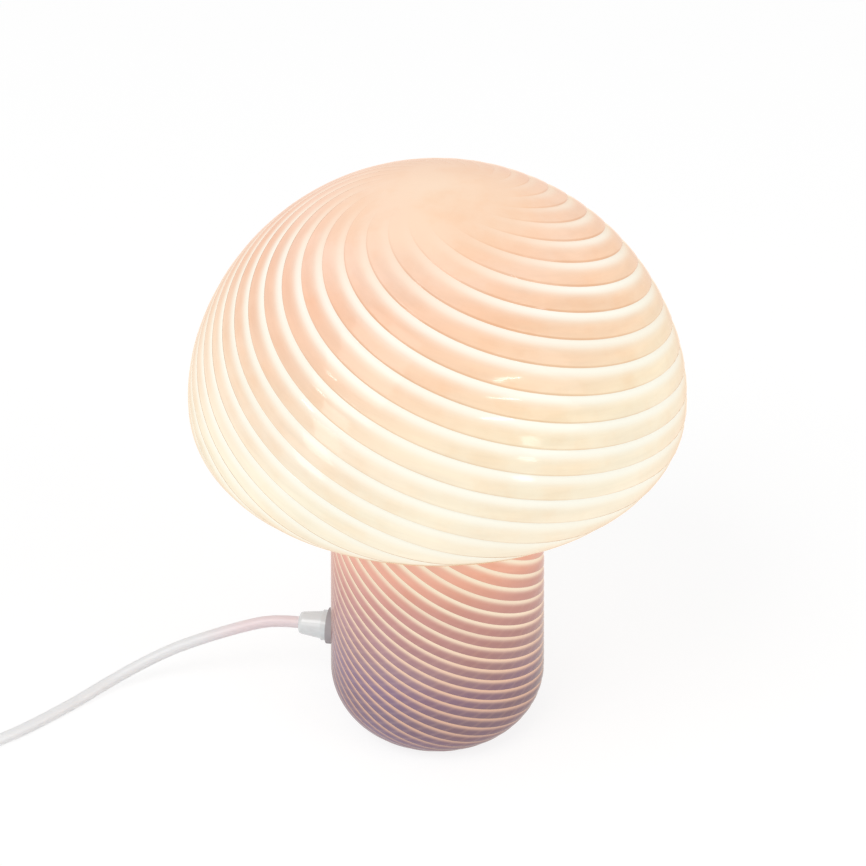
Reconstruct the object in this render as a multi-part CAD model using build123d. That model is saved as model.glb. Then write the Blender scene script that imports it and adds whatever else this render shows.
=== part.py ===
"""Mushroom table lamp: a one-piece blown glass shade and stem, lit from inside.

Millimetres. The origin is on the lamp's axis at the table, +Z up. The gland and its cord
leave along -X. The lamp holder stands on a base disc that plugs the mouth under the foot.
"""

from build123d import *
import math
import os

# ---------------------------------------------------------------- blown glass
cap_radius = 100.0  # widest point of the cap, outside
equator_height = 163.5  # of that widest point above the table
cap_rise = 93.0  # from there up to the top of the cap
shoulder_radius = 74.8  # arc of the cap's side above its widest point
lip_radius = 19.8  # arc that rolls in under the cap
lip_turn = 72.9  # degrees that it turns before the straight underside
neck_radius = 14.0  # hollow between underside and stem
stem_foot_radius = 47.1  # stem where it starts to round in to the foot
stem_lean = 1.6  # degrees that the stem's wall leans in going up
foot_upper_arc = 24.0
foot_upper_turn = 40.0
foot_lower_arc = 11.0
glass_wall = 3.0
inner_step = 10.0  # degrees of arc in each straight step of the glass's inside
mouth_radius = 27.0  # ground opening under the foot

# ---------------------------------------------------------------- foot ring
ring_height = 1.5  # silicone ring that the glass stands on
ring_band = 4.6
ring_gap = 0.3  # between the base disc's flange and the ring

# ---------------------------------------------------------------- cord outlet
outlet_height = 34.4
shank_radius = 4.9
shank_clearance = 0.1
outer_washer_radius = 8.0
outer_washer_thickness = 2.2
outlet_flange_radius = 6.8
outlet_flange_thickness = 2.4
outlet_neck_radius = 6.2
outlet_tip_radius = 5.0
outlet_nose_length = 10.5
outlet_tip_round = 1.5
inner_washer_radius = 7.5
inner_washer_thickness = 1.8
outlet_nut_flats = 12.0
outlet_nut_thickness = 3.5
shank_spare = 1.0  # thread past the nut

# ---------------------------------------------------------------- cord
cord_diameter = 5.2
lead_clearance = 0.05  # of the cord in the outlet's bore
coil_middle_radius = 31.0
coil_half_turns = 5  # in each of the two layers
coil_turn_pitch = 6.8
coil_layer_pitch = 5.7
cord_sides = 8
coil_sides = 6

# ---------------------------------------------------------------- in-line switch
switch_length = 58.0
switch_width = 25.0
switch_height = 15.0
switch_corner = 9.5
switch_top_chamfer = 2.0
switch_bottom_chamfer = 1.0
rocker_length = 18.0
rocker_width = 10.0
rocker_gap = 0.3  # beside the rocker
rocker_end_gap = 0.9  # at its two ends, which swing
rocker_pivot_height = 11.0
rocker_rise = 5.0  # of its ends above the pivot
rocker_dip = 3.4  # of its middle above the pivot
rocker_keel_depth = 4.0
rocker_keel_length = 6.0
rocker_tilt = 8.0  # degrees to either side
rocker_pin_radius = 1.2
rocker_pin_length = 1.5
rocker_pin_clearance = 0.05
well_floor = 3.0
contact_length = 6.0
contact_width = 3.0
contact_thickness = 1.2
switch_screw_radius = 1.4
switch_screw_head = 2.6
switch_screw_head_depth = 1.6
switch_screw_length = 11.0
switch_screw_x = 17.0
switch_screw_y = 8.0
screw_clearance = 0.1

# ---------------------------------------------------------------- plug
plug_length = 36.0
plug_width = 26.0
plug_thickness = 13.7
plug_shoulder = 16.0  # where it reaches nearly its full width
plug_waist = 10.0
plug_waist_width = 12.0
plug_edge_fillet = 3.0
boot_radius = 4.6
pin_radius = 2.0
pin_length = 19.0
pin_spacing = 18.6
pin_tip = 0.8

# ---------------------------------------------------------------- base disc and bracket
disc_gap = 0.4  # under the disc
flange_thickness = 0.8
flange_overlap = 0.7  # of the flange under the glass
disc_thickness = 2.0
collar_wall = 1.5
collar_height = 8.6
grip_thickness = 1.5
grip_height = 7.8
grip_clearance = 0.3
grip_groove = 0.5
grip_band = 2.4  # of each of its two bands
vent_length = 9.0
vent_width = 2.6
vent_circle = 15.5
bracket_width = 12.0
bracket_thickness = 1.2
bracket_span = 32.0  # between the middles of its legs
bracket_top = 86.0
bracket_foot = 6.2
bracket_bend = 1.6
bracket_screw_edge = 2.2  # of its middle from the end of the foot
bracket_screw_radius = 1.25
bracket_screw_head = 2.2
bracket_screw_head_height = 1.6

# ---------------------------------------------------------------- lamp holder
nipple_radius = 5.0
nipple_bore = 3.5
nipple_below = 6.0  # below the top of the bracket
nipple_above = 5.2
thread_clearance = 0.05
nipple_nut_flats = 14.0
nipple_nut_thickness = 3.0
lock_washer_radius = 8.5
lock_washer_thickness = 0.8
lock_washer_teeth = 10
holder_radius = 13.5
holder_wall = 1.6
holder_neck_radius = 8.0
holder_neck_height = 3.7
holder_cone_height = 6.5
holder_cap_height = 14.7
holder_skirt_height = 26.0
holder_rib_height = 0.7
holder_rib_width = 1.5
holder_rib_pitch = 4.5
holder_lip = 1.5
core_gap = 0.3
core_depth = 4.0  # of the core below the joint of cap and skirt
core_rise = 1.5  # above it
core_ring_height = 5.0
core_ring_wall = 1.5
shell_clearance = 0.1
shell_wall = 0.5
shell_height = 20.5
tongue_length = 8.0
tongue_width = 4.0
tongue_thickness = 0.5
tongue_rise = 1.2
terminal_radius = 1.6
terminal_length = 3.0

# ---------------------------------------------------------------- bulb
bulb_radius = 22.5
bulb_glass_wall = 0.8
bulb_step = 10.0  # degrees of arc in each straight step of the bulb's glass
bulb_neck_radius = 8.2
bulb_neck_to_centre = 28.0
bulb_cap_radius = 6.95
bulb_cap_length = 19.8
bulb_cap_flare = 4.0
insulator_height = 1.6
insulator_tip_radius = 3.0
button_radius = 2.2
button_height = 1.6
contact_gap = 0.3
stem_radius = 3.2
stem_height = 15.0
button_plate_radius = 7.0
button_plate_thickness = 1.0
filament_radius = 0.9
filament_length = 24.0
filament_circle = 5.5
filament_bar = 0.6


# ---------------------------------------------------------------- helpers
def turned(*outline):
    """Solid of revolution about Z from (radius, height) corners."""
    return revolve(make_face(Polyline(*[(r, 0, z) for r, z in outline], close=True)), Axis.Z)


def tube_piece(outer, inner, bottom, top):
    """Straight ring about Z between two heights."""
    return turned((inner, bottom), (outer, bottom), (outer, top), (inner, top))


def polar(centre, radius, degrees):
    """Point of a lathe profile at a direction from a centre, as (radius, height)."""
    turn = math.radians(degrees)
    return centre[0] + radius * math.cos(turn), centre[1] + radius * math.sin(turn)


def profile_arc(centre, radius, start, end):
    """Arc of a lathe profile between two directions."""
    spots = [polar(centre, radius, turn) for turn in (start, (start + end) / 2, end)]
    return ThreePointArc(*[(r, 0, z) for r, z in spots])


def profile_steps(centre, radius, start, end, step):
    """The same arc in equal straight steps of at most so many degrees."""
    count = math.ceil(abs(end - start) / step)
    turns = [start + (end - start) * number / count for number in range(count + 1)]
    spots = [polar(centre, radius, turn) for turn in turns]
    return [Line((a[0], 0, a[1]), (b[0], 0, b[1])) for a, b in zip(spots, spots[1:])]


def route(points):
    """Straight runs joined by arcs as large as the shorter run at each corner allows."""
    spots = [Vector(*point) for point in points]
    radii = []
    for before, here, after in zip(spots, spots[1:], spots[2:]):
        into, away = here - before, after - here
        turn = math.radians(into.get_angle(away))
        radii.append(0.45 * min(into.length, away.length) / math.tan(turn / 2))
    return FilletPolyline(*spots, radius=radii), radii


def spot_on(place, x, y, z):
    """Point given in a placed piece's own frame."""
    return (place * Pos(x, y, z)).position


def cord_tube(name, path, sides, first_normal):
    """Faceted cord along a path; prints its length and how well its volume agrees."""
    plane = Plane(origin=path @ 0, z_dir=path % 0, x_dir=first_normal)
    section = plane * RegularPolygon(cord_diameter / 2, sides)
    tube = sweep(section, path=path)
    even = tube.volume / (section.area * path.length)
    print(f"{name}: length {path.length:.1f}, volume over section times length {even:.4f}")
    return tube


def cord_piece(name, points):
    """Free stretch of cord through the points of its route."""
    path, radii = route(points)
    print(f"{name}: radii", " ".join(f"{radius:.0f}" for radius in radii))
    across = Vector(0, 0, 1).cross(path % 0)
    return cord_tube(name, path, cord_sides, across)


# ---------------------------------------------------------------- glass profile
glass_bottom = ring_height
cap_top = equator_height + cap_rise
crown_radius = (cap_radius**2 - 2 * cap_radius * shoulder_radius + cap_rise**2) / (
    2 * (cap_rise - shoulder_radius)
)
crown_centre = (0.0, cap_top - crown_radius)
shoulder_centre = (cap_radius - shoulder_radius, equator_height)
crown_end = math.degrees(
    math.atan2(equator_height - crown_centre[1], cap_radius - shoulder_radius)
)
lip_centre = (cap_radius - lip_radius, equator_height)
lean = math.radians(stem_lean)
foot_drop = (foot_upper_arc - foot_lower_arc) * math.sin(math.radians(foot_upper_turn))
foot_start = (
    stem_foot_radius,
    glass_bottom + foot_lower_arc + foot_drop + foot_upper_arc * math.sin(lean),
)
foot_upper_centre = polar(foot_start, -foot_upper_arc, stem_lean)
foot_lower_centre = polar(foot_upper_centre, foot_upper_arc - foot_lower_arc, -foot_upper_turn)


def neck_centre():
    """Centre of the neck's arc: the same distance from the underside and from the stem."""
    from_under = polar(polar(lip_centre, lip_radius, -lip_turn), neck_radius, -lip_turn)
    from_stem = polar(foot_start, neck_radius, stem_lean)
    under = (-math.sin(math.radians(lip_turn)), -math.cos(math.radians(lip_turn)))
    rise = (-math.sin(lean), math.cos(lean))
    gap = (from_stem[0] - from_under[0], from_stem[1] - from_under[1])
    along = (gap[0] * rise[1] - gap[1] * rise[0]) / (under[0] * rise[1] - under[1] * rise[0])
    return from_under[0] + along * under[0], from_under[1] + along * under[1]


# centre, radius, first and last direction, and +1 where the arc bulges outwards
glass_arcs = [
    (crown_centre, crown_radius, 90, crown_end, 1),
    (shoulder_centre, shoulder_radius, crown_end, 0, 1),
    (lip_centre, lip_radius, 0, -lip_turn, 1),
    (neck_centre(), neck_radius, 180 - lip_turn, 180 + stem_lean, -1),
    (foot_upper_centre, foot_upper_arc, stem_lean, -foot_upper_turn, 1),
    (foot_lower_centre, foot_lower_arc, -foot_upper_turn, -90, 1),
]


def glass_skin(inset):
    """Outline from the top of the cap to the mouth, moved into the glass by inset."""
    edges = []
    for centre, radius, start, end, bulge in glass_arcs:
        moved = radius - bulge * inset
        if inset:
            pieces = profile_steps(centre, moved, start, end, inner_step)
        else:
            pieces = [profile_arc(centre, moved, start, end)]
        if edges and (pieces[0] @ 0 - edges[-1] @ 1).length > 1e-6:
            edges.append(Line(edges[-1] @ 1, pieces[0] @ 0))
        edges += pieces
    edges.append(Line(edges[-1] @ 1, (mouth_radius, 0, glass_bottom + inset)))
    return edges


def glass_full(inset):
    """Solid inside the glass's skin at that inset, closed across the mouth."""
    edges = glass_skin(inset)
    foot = (0, 0, glass_bottom + inset)
    edges += [Line(edges[-1] @ 1, foot), Line(foot, edges[0] @ 0)]
    return revolve(Face(Wire(edges)), Axis.Z)


def stem_radius_at(height, inset):
    """Distance from the axis to the stem's skin at a height, straight out."""
    return stem_foot_radius - (height - foot_start[1]) * math.tan(lean) - inset / math.cos(lean)


# ---------------------------------------------------------------- cord outlet
outlet_place = Pos(0, 0, outlet_height) * Rot(0, -90, 0)  # its Z runs out along -X
outer_seat = stem_radius_at(outlet_height, 0)
inner_seat = stem_radius_at(outlet_height, glass_wall)
washer_face = outer_seat + outer_washer_thickness
nose_start = washer_face + outlet_flange_thickness
nose_end = nose_start + outlet_nose_length
nut_face = inner_seat - inner_washer_thickness
nut_end = nut_face - outlet_nut_thickness
shank_end = nut_end - shank_spare
shank_hole = shank_radius + shank_clearance
lead_bore = cord_diameter / 2 + lead_clearance
outlet_tip = Vector(-nose_end, 0, outlet_height)


def glass_body():
    """Shade and stem in one bubble of glass, ground flat at the mouth, drilled for the outlet."""
    outer, inner = glass_skin(0), glass_skin(glass_wall)
    rim = Line(outer[-1] @ 1, inner[-1] @ 1)
    pole = Line(inner[0] @ 0, outer[0] @ 0)
    bubble = revolve(Face(Wire(outer + [rim] + inner + [pole])), Axis.Z)
    reach = outer_seat - inner_seat + 6
    drill = Cylinder(shank_hole, reach, align=(Align.CENTER, Align.CENTER, Align.MIN))
    return bubble - outlet_place * Pos(0, 0, inner_seat - 3) * drill


def outer_washer():
    """Rubber washer, flat outside and hollowed to the stem inside."""
    blank = tube_piece(outer_washer_radius, shank_hole, outer_seat - 3, washer_face)
    return outlet_place * blank - glass_full(0)


def inner_washer():
    """Rubber washer inside the stem, rounded to its wall."""
    blank = tube_piece(inner_washer_radius, shank_hole, nut_face, inner_seat + 3)
    return outlet_place * blank & glass_full(glass_wall)


def outlet_gland():
    """Flange, tapered nose and threaded shank, bored for the cord."""
    half_round = outlet_tip_round * 0.3
    body = turned(
        (lead_bore, shank_end),
        (shank_radius, shank_end),
        (shank_radius, washer_face),
        (outlet_flange_radius, washer_face),
        (outlet_flange_radius, nose_start),
        (outlet_neck_radius, nose_start),
        (outlet_tip_radius, nose_end - outlet_tip_round),
        (outlet_tip_radius - half_round, nose_end - half_round),
        (outlet_tip_radius - outlet_tip_round, nose_end),
        (lead_bore, nose_end),
    )
    return outlet_place * body


def outlet_nut():
    """Hexagon nut that clamps the outlet from inside."""
    blank = extrude(RegularPolygon(outlet_nut_flats / 2, 6, major_radius=False), outlet_nut_thickness)
    blank -= Cylinder(shank_radius + thread_clearance, outlet_nut_thickness * 3)
    return outlet_place * Pos(0, 0, nut_end) * blank


def foot_ring():
    """Silicone ring under the glass, just outside the base disc's flange."""
    inside = mouth_radius + flange_overlap + ring_gap
    return tube_piece(inside + ring_band, inside, 0, ring_height)


# ---------------------------------------------------------------- base disc and bracket
flange_bottom = disc_gap
flange_top = flange_bottom + flange_thickness
disc_top = flange_bottom + disc_thickness
grip_radius = mouth_radius - grip_clearance
collar_radius = grip_radius - grip_thickness
foot_screw_y = bracket_span / 2 + bracket_foot - bracket_screw_edge
bracket_foot_top = disc_top + bracket_thickness


def base_disc():
    """Disc with a flange under the mouth's rim, a collar inside it and slots for air."""
    flange = mouth_radius + flange_overlap
    inside = collar_radius - collar_wall
    disc = turned(
        (0, flange_bottom),
        (flange, flange_bottom),
        (flange, flange_top),
        (collar_radius, flange_top),
        (collar_radius, disc_top + collar_height),
        (inside, disc_top + collar_height),
        (inside, disc_top),
        (0, disc_top),
    )
    slot = Box(vent_length, vent_width, disc_thickness * 3)
    for turn in (0, 38, 142, 180, 218, 322):
        disc -= Rot(0, 0, turn) * Pos(vent_circle, 0, flange_bottom) * slot
    hole = Cylinder(bracket_screw_radius + screw_clearance, disc_thickness * 3)
    for side in (-1, 1):
        disc -= Pos(0, side * foot_screw_y, flange_bottom) * hole
    return disc


def grip_collar():
    """Silicone sleeve round the collar that holds in the mouth with two bands."""
    low, high = flange_top, flange_top + grip_height
    groove = grip_radius - grip_groove
    return turned(
        (collar_radius, low),
        (grip_radius, low),
        (grip_radius, low + grip_band),
        (groove, low + grip_band),
        (groove, high - grip_band),
        (grip_radius, high - grip_band),
        (grip_radius, high),
        (collar_radius, high),
    )


def holder_bracket():
    """Bent strip: two feet on the disc, two legs and a top plate for the holder."""
    leg = bracket_span / 2
    low, high = disc_top + bracket_thickness / 2, bracket_top - bracket_thickness / 2
    path = FilletPolyline(
        (0, -leg - bracket_foot, low),
        (0, -leg, low),
        (0, -leg, high),
        (0, leg, high),
        (0, leg, low),
        (0, leg + bracket_foot, low),
        radius=bracket_bend,
    )
    start = Plane(origin=path @ 0, x_dir=(1, 0, 0), z_dir=path % 0)
    strip = sweep(start * Rectangle(bracket_width, bracket_thickness), path=path)
    strip -= Pos(0, 0, bracket_top) * Cylinder(nipple_radius + screw_clearance, 9)
    for side in (-1, 1):
        hole = Cylinder(bracket_screw_radius + screw_clearance, 9)
        strip -= Pos(0, side * foot_screw_y, disc_top) * hole
    return strip


def bracket_screws():
    """Two screws through the bracket's feet into the disc."""
    head_top = bracket_foot_top + bracket_screw_head_height
    screw = turned(
        (0, flange_bottom + 0.2),
        (bracket_screw_radius, flange_bottom + 0.2),
        (bracket_screw_radius, bracket_foot_top),
        (bracket_screw_head, bracket_foot_top),
        (bracket_screw_head, head_top - 0.6),
        (bracket_screw_head - 0.8, head_top),
        (0, head_top),
    )
    return Compound([Pos(0, side * foot_screw_y, 0) * screw for side in (-1, 1)])


# ---------------------------------------------------------------- lamp holder
holder_bottom = bracket_top + lock_washer_thickness
nipple_bottom = bracket_top - nipple_below
nipple_top = bracket_top + nipple_above
skirt_bottom = holder_bottom + holder_cap_height
skirt_top = skirt_bottom + holder_skirt_height
core_bottom = skirt_bottom - core_depth
core_top = skirt_bottom + core_rise
shell_inner = bulb_cap_radius + shell_clearance
shell_outer = shell_inner + shell_wall
core_radius = holder_radius - holder_wall - core_gap
tongue_top = core_top + tongue_rise + tongue_thickness


def threaded_nipple():
    """Short threaded tube that joins bracket and holder and lets the cord in."""
    return tube_piece(nipple_radius, nipple_bore, nipple_bottom, nipple_top)


def nipple_nut():
    """Hexagon nut under the bracket's top plate."""
    under = bracket_top - bracket_thickness - nipple_nut_thickness
    blank = extrude(RegularPolygon(nipple_nut_flats / 2, 6, major_radius=False), nipple_nut_thickness)
    return Pos(0, 0, under) * (blank - Cylinder(nipple_radius + thread_clearance, 12))


def toothed_washer():
    """Lock washer between bracket and holder."""
    ring = tube_piece(lock_washer_radius, nipple_radius + screw_clearance, bracket_top, holder_bottom)
    notch = Box(2.2, 1.6, lock_washer_thickness * 3)
    for count in range(lock_washer_teeth):
        turn = Rot(0, 0, count * 360 / lock_washer_teeth)
        ring -= turn * Pos(lock_washer_radius, 0, bracket_top) * notch
    return ring


def holder_cap():
    """Lower half of the holder: threaded neck, cone and short wall."""
    neck_top = holder_bottom + holder_neck_height
    wall_start = neck_top + holder_cone_height
    bore = nipple_radius + thread_clearance
    inside = holder_radius - holder_wall
    floor = holder_bottom + holder_neck_height + holder_wall
    return turned(
        (bore, holder_bottom),
        (holder_neck_radius, holder_bottom),
        (holder_neck_radius, neck_top),
        (holder_radius, wall_start),
        (holder_radius, skirt_bottom),
        (inside, skirt_bottom),
        (inside, wall_start + 0.4),
        (holder_neck_radius - 0.6, floor),
        (bore, floor),
    )


def holder_skirt():
    """Upper half of the holder: a sleeve with outer ribs and a lip round the socket."""
    inside = holder_radius - holder_wall
    corners = [(inside, skirt_bottom), (holder_radius, skirt_bottom)]
    rib = holder_radius + holder_rib_height
    for count in range(3):
        low = skirt_bottom + 8 + count * holder_rib_pitch
        corners += [(holder_radius, low), (rib, low)]
        corners += [(rib, low + holder_rib_width), (holder_radius, low + holder_rib_width)]
    mouth = bulb_neck_radius + 0.7
    corners += [
        (holder_radius, skirt_top - 1),
        (holder_radius - 1, skirt_top),
        (mouth, skirt_top),
        (mouth, skirt_top - holder_lip),
        (inside, skirt_top - holder_lip),
    ]
    return turned(*corners)


def holder_core():
    """Insulating core that carries the contacts, with a ring round the screw shell."""
    ring_in = shell_outer + thread_clearance
    ring_out = ring_in + core_ring_wall
    core = turned(
        (0, core_bottom),
        (core_radius, core_bottom),
        (core_radius, core_top),
        (ring_out, core_top),
        (ring_out, core_top + core_ring_height),
        (ring_in, core_top + core_ring_height),
        (ring_in, core_top),
        (0, core_top),
    )
    hole = Cylinder(terminal_radius + screw_clearance, 2 * terminal_length + 1)
    for side in (-1, 1):
        core -= Pos(side * core_radius, 0, skirt_bottom - core_depth / 2) * Rot(0, 90, 0) * hole
    return core


def terminal_screws():
    """Two brass screws in the sides of the core."""
    height = skirt_bottom - core_depth / 2
    middle = core_radius - terminal_length / 2 - 0.2
    screw = Rot(0, 90, 0) * Cylinder(terminal_radius, terminal_length)
    return Compound([Pos(side * middle, 0, height) * screw for side in (-1, 1)])


def screw_shell():
    """Threaded brass shell of the socket, standing on the core."""
    return tube_piece(shell_outer, shell_inner, core_top, core_top + shell_height)


def centre_contact():
    """Brass tongue on the core, bent up under the bulb's button."""
    half = tongue_length / 2
    line = Polyline(
        (-half, 0, core_top),
        (-half + 3, 0, core_top),
        (half - 3, 0, core_top + tongue_rise),
        (half - 1, 0, core_top + tongue_rise),
        (half - 1, 0, core_top + tongue_rise + tongue_thickness),
        (half - 3.3, 0, core_top + tongue_rise + tongue_thickness),
        (-half + 2.7, 0, core_top + tongue_thickness),
        (-half, 0, core_top + tongue_thickness),
        close=True,
    )
    return extrude(make_face(line), tongue_width / 2, both=True)


# ---------------------------------------------------------------- bulb
button_bottom = tongue_top + contact_gap
insulator_bottom = button_bottom + button_height
bulb_cap_bottom = insulator_bottom + insulator_height
bulb_neck = bulb_cap_bottom + bulb_cap_length
bulb_centre = bulb_neck + bulb_neck_to_centre
plate_bottom = bulb_neck + stem_height
plate_top = plate_bottom + button_plate_thickness


def bulb_button():
    """Contact button under the bulb's cap."""
    top = insulator_bottom
    return turned((0, button_bottom), (button_radius - 0.6, button_bottom), (button_radius, top), (0, top))


def cap_insulator():
    """Black glass cone between button and cap."""
    tip, wide = insulator_tip_radius, bulb_cap_radius - 0.7
    low, high = insulator_bottom, bulb_cap_bottom
    return turned((0, low), (tip, low), (wide, high), (0, high))


def bulb_cap():
    """Small screw cap, flared where the glass is set in."""
    return turned(
        (0, bulb_cap_bottom),
        (bulb_cap_radius, bulb_cap_bottom),
        (bulb_cap_radius, bulb_neck - bulb_cap_flare),
        (bulb_neck_radius, bulb_neck - 1),
        (bulb_neck_radius, bulb_neck),
        (0, bulb_neck),
    )


def bulb_globe():
    """Thin round glass, drawn in to the cap along a cone."""
    reach = math.hypot(bulb_neck_radius, bulb_neck_to_centre)
    flare = math.asin(bulb_radius / reach) - math.atan2(bulb_neck_radius, bulb_neck_to_centre)
    lowest = -math.degrees(flare)
    centre = (0.0, bulb_centre)
    neck_inside = bulb_neck_radius - bulb_glass_wall / math.cos(flare)
    outer = profile_steps(centre, bulb_radius, 90, lowest, bulb_step)
    inner = profile_steps(centre, bulb_radius - bulb_glass_wall, 90, lowest, bulb_step)
    rim_out, rim_in = (bulb_neck_radius, 0, bulb_neck), (neck_inside, 0, bulb_neck)
    rim = [Line(outer[-1] @ 1, rim_out), Line(rim_out, rim_in), Line(rim_in, inner[-1] @ 1)]
    return revolve(Face(Wire(outer + rim + inner + [Line(inner[0] @ 0, outer[0] @ 0)])), Axis.Z)


def bulb_stem():
    """Glass stem in the bulb with the plate that the filaments stand on."""
    return turned(
        (0, bulb_neck),
        (bulb_neck_radius - 2.4, bulb_neck),
        (stem_radius, bulb_neck + 4),
        (stem_radius, plate_bottom),
        (button_plate_radius, plate_bottom),
        (button_plate_radius, plate_top),
        (0, plate_top),
    )


def led_filaments():
    """Four upright light sticks, joined in pairs by a bar at the top."""
    stick = extrude(RegularPolygon(filament_radius, 6), filament_length)
    bar = Box(2 * filament_circle, filament_bar, filament_bar)
    pair = Pos(0, 0, filament_length + filament_bar / 2) * bar
    for side in (-1, 1):
        pair += Pos(side * filament_circle, 0, 0) * stick
    step = Pos(0, filament_circle / 2, plate_top)
    return Compound([step * pair, Pos(0, -filament_circle / 2, plate_top) * pair])


# ---------------------------------------------------------------- cord and its pieces
cord_rest = cord_diameter / 2  # height of a cord's middle on the table
switch_heading = 140.0
switch_middle = (-288.0, -38.0)
switch_place = Pos(*switch_middle, 0) * Rot(0, 0, switch_heading)
switch_axis = switch_height / 2
switch_entry = spot_on(switch_place, -switch_length / 2, 0, switch_axis)
switch_exit = spot_on(switch_place, switch_length / 2, 0, switch_axis)
switch_before = spot_on(switch_place, -switch_length / 2 - 14, 0, switch_axis)
switch_after = spot_on(switch_place, switch_length / 2 + 12, 0, switch_axis)

inner_lead_points = [
    outlet_tip,
    (-22, 0, outlet_height),
    (0, 0, outlet_height + 22),
    (0, 0, core_bottom - 1),
]
cord_run_points = [
    outlet_tip,
    outlet_tip + Vector(-11.5, 0, 0),
    (-88.4, -1.7, 29.6),
    (-106.2, -4.1, 22.4),
    (-120.9, -7.2, 16.0),
    (-134.3, -12.3, 9.4),
    (-146.8, -20.6, 4.4),
    (-156.4, -31.5, cord_rest),
    (-166.6, -44.4, cord_rest),
    (-178.2, -57.6, cord_rest),
    (-193.5, -70.5, cord_rest),
    (-212.5, -78.5, cord_rest),
    (-232.5, -77.0, cord_rest + 1.7),
    switch_before,
    switch_entry,
]
coil_start = Vector(-338.0, 55.0, cord_rest)
coil_lead_in = coil_start - Vector(0, cord_diameter + 1, 0)
cord_tail_points = [
    switch_exit,
    switch_after,
    (-329.5, 0.5, cord_rest + 2.0),
    (-335.6, 14.5, cord_rest),
    (-338.0, 31.5, cord_rest),
    coil_lead_in,
]


def coil_path():
    """Half turns: spiral in on the table, climb a layer, spiral out above."""
    step = coil_turn_pitch / 2
    reach = coil_middle_radius + step * coil_half_turns / 2
    middle = coil_start + Vector(reach, 0, 0)
    reaches = [reach - step * count for count in range(coil_half_turns + 1)]
    reaches += [reaches[-1] + step * count for count in range(coil_half_turns + 1)]
    ends = []
    for count, distance in enumerate(reaches):
        height = coil_layer_pitch if count > coil_half_turns else 0
        ends.append(middle + Vector(-distance if count % 2 == 0 else distance, 0, height))
    edges = [Line(coil_lead_in, coil_start)]
    for count, (first, last) in enumerate(zip(ends, ends[1:])):
        side = 1 if count % 2 == 0 else -1
        across = Vector(0, side * (last - first).length / 2, 0)
        edges.append(ThreePointArc(first, (first + last) * 0.5 + across, last))
    heading = edges[-1] % 1
    edges.append(Line(ends[-1], ends[-1] + heading * (cord_diameter + 1)))
    return Wire(edges)


def least_gap(path):
    """Smallest distance between turns of a path that lie a half turn or more apart."""
    count = 420
    spots = [path @ (number / count) for number in range(count + 1)]
    apart = int(count * math.pi * coil_middle_radius * 0.6 / path.length)
    least = min(
        (spots[a] - spots[b]).length
        for a in range(count + 1)
        for b in range(a + apart, count + 1)
    )
    return least - cord_diameter


coil_line = coil_path()
print(f"cord_coil: least gap to itself {least_gap(coil_line):.2f}")
coil_end = coil_line @ 1
plug_heading = -84.0
plug_rear = Vector(coil_end.X + 2.0, coil_end.Y - 22.0, plug_thickness / 2)
plug_place = Pos(plug_rear.X, plug_rear.Y, 0) * Rot(0, 0, plug_heading)
plug_before = spot_on(plug_place, -8.5, 0, plug_thickness / 2)
plug_lead_points = [coil_end, coil_end + Vector(0, -6.5, 0), plug_before, plug_rear]


def rocker_well():
    """Space in the housing that the rocker swings in, standing on z = 0."""
    size = (rocker_length + 2 * rocker_end_gap, rocker_width + 2 * rocker_gap, switch_height)
    return Box(*size, align=(Align.CENTER, Align.CENTER, Align.MIN))


def switch_screw_holes(radius, low, high):
    """Two upright rods at the screws' places, to cut or to keep."""
    rod = Cylinder(radius, high - low, align=(Align.CENTER, Align.CENTER, Align.MIN))
    places = ((switch_screw_x, switch_screw_y), (-switch_screw_x, -switch_screw_y))
    return [Pos(x, y, low) * rod for x, y in places]


def switch_lower_housing():
    """Lower shell with the contact well and sunk screw heads."""
    shell = extrude(RectangleRounded(switch_length, switch_width, switch_corner), switch_axis)
    shell = chamfer(shell.faces().sort_by(Axis.Z)[0].edges(), switch_bottom_chamfer)
    shell -= Pos(0, 0, well_floor) * rocker_well()
    for rod in switch_screw_holes(switch_screw_radius + screw_clearance, -1, switch_height):
        shell -= rod
    head = switch_screw_head + screw_clearance
    for rod in switch_screw_holes(head, -1, 0.4 + switch_screw_head_depth):
        shell -= rod
    return switch_place * shell


def switch_upper_housing():
    """Upper shell, bevelled on top, with the rocker's opening and pin bearings."""
    shell = extrude(RectangleRounded(switch_length, switch_width, switch_corner), switch_height - switch_axis)
    shell = chamfer(shell.faces().sort_by(Axis.Z)[-1].edges(), switch_top_chamfer)
    shell = Pos(0, 0, switch_axis) * shell - rocker_well()
    bearing = Cylinder(
        rocker_pin_radius + rocker_pin_clearance,
        rocker_width + 2 * rocker_gap + 2 * rocker_pin_length + 0.4,
    )
    shell -= Pos(0, 0, rocker_pivot_height) * Rot(90, 0, 0) * bearing
    top = 0.4 + switch_screw_length + 0.6
    for rod in switch_screw_holes(switch_screw_radius + screw_clearance, 0, top):
        shell -= rod
    return switch_place * shell


def switch_rocker():
    """Rocker with a dished top, a keel and two pins, resting on its off side."""
    half, keel = rocker_length / 2, rocker_keel_length / 2
    side = Polyline(
        (-half, 0, 0),
        (-half, 0, rocker_rise),
        (0, 0, rocker_dip),
        (half, 0, rocker_rise),
        (half, 0, 0),
        (keel, 0, -rocker_keel_depth),
        (-keel, 0, -rocker_keel_depth),
        close=True,
    )
    rocker = extrude(make_face(side), rocker_width / 2, both=True)
    pins = rocker_width + 2 * rocker_gap + 2 * rocker_pin_length
    rocker += Rot(90, 0, 0) * Cylinder(rocker_pin_radius, pins)
    return switch_place * Pos(0, 0, rocker_pivot_height) * Rot(0, rocker_tilt, 0) * rocker


def switch_contacts():
    """Two brass strips on the floor of the well."""
    strip = Box(contact_length, contact_width, contact_thickness)
    height = well_floor + contact_thickness / 2
    spots = [Pos(side * rocker_length / 3, 0, height) * strip for side in (-1, 1)]
    return Compound([switch_place * spot for spot in spots])


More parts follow.
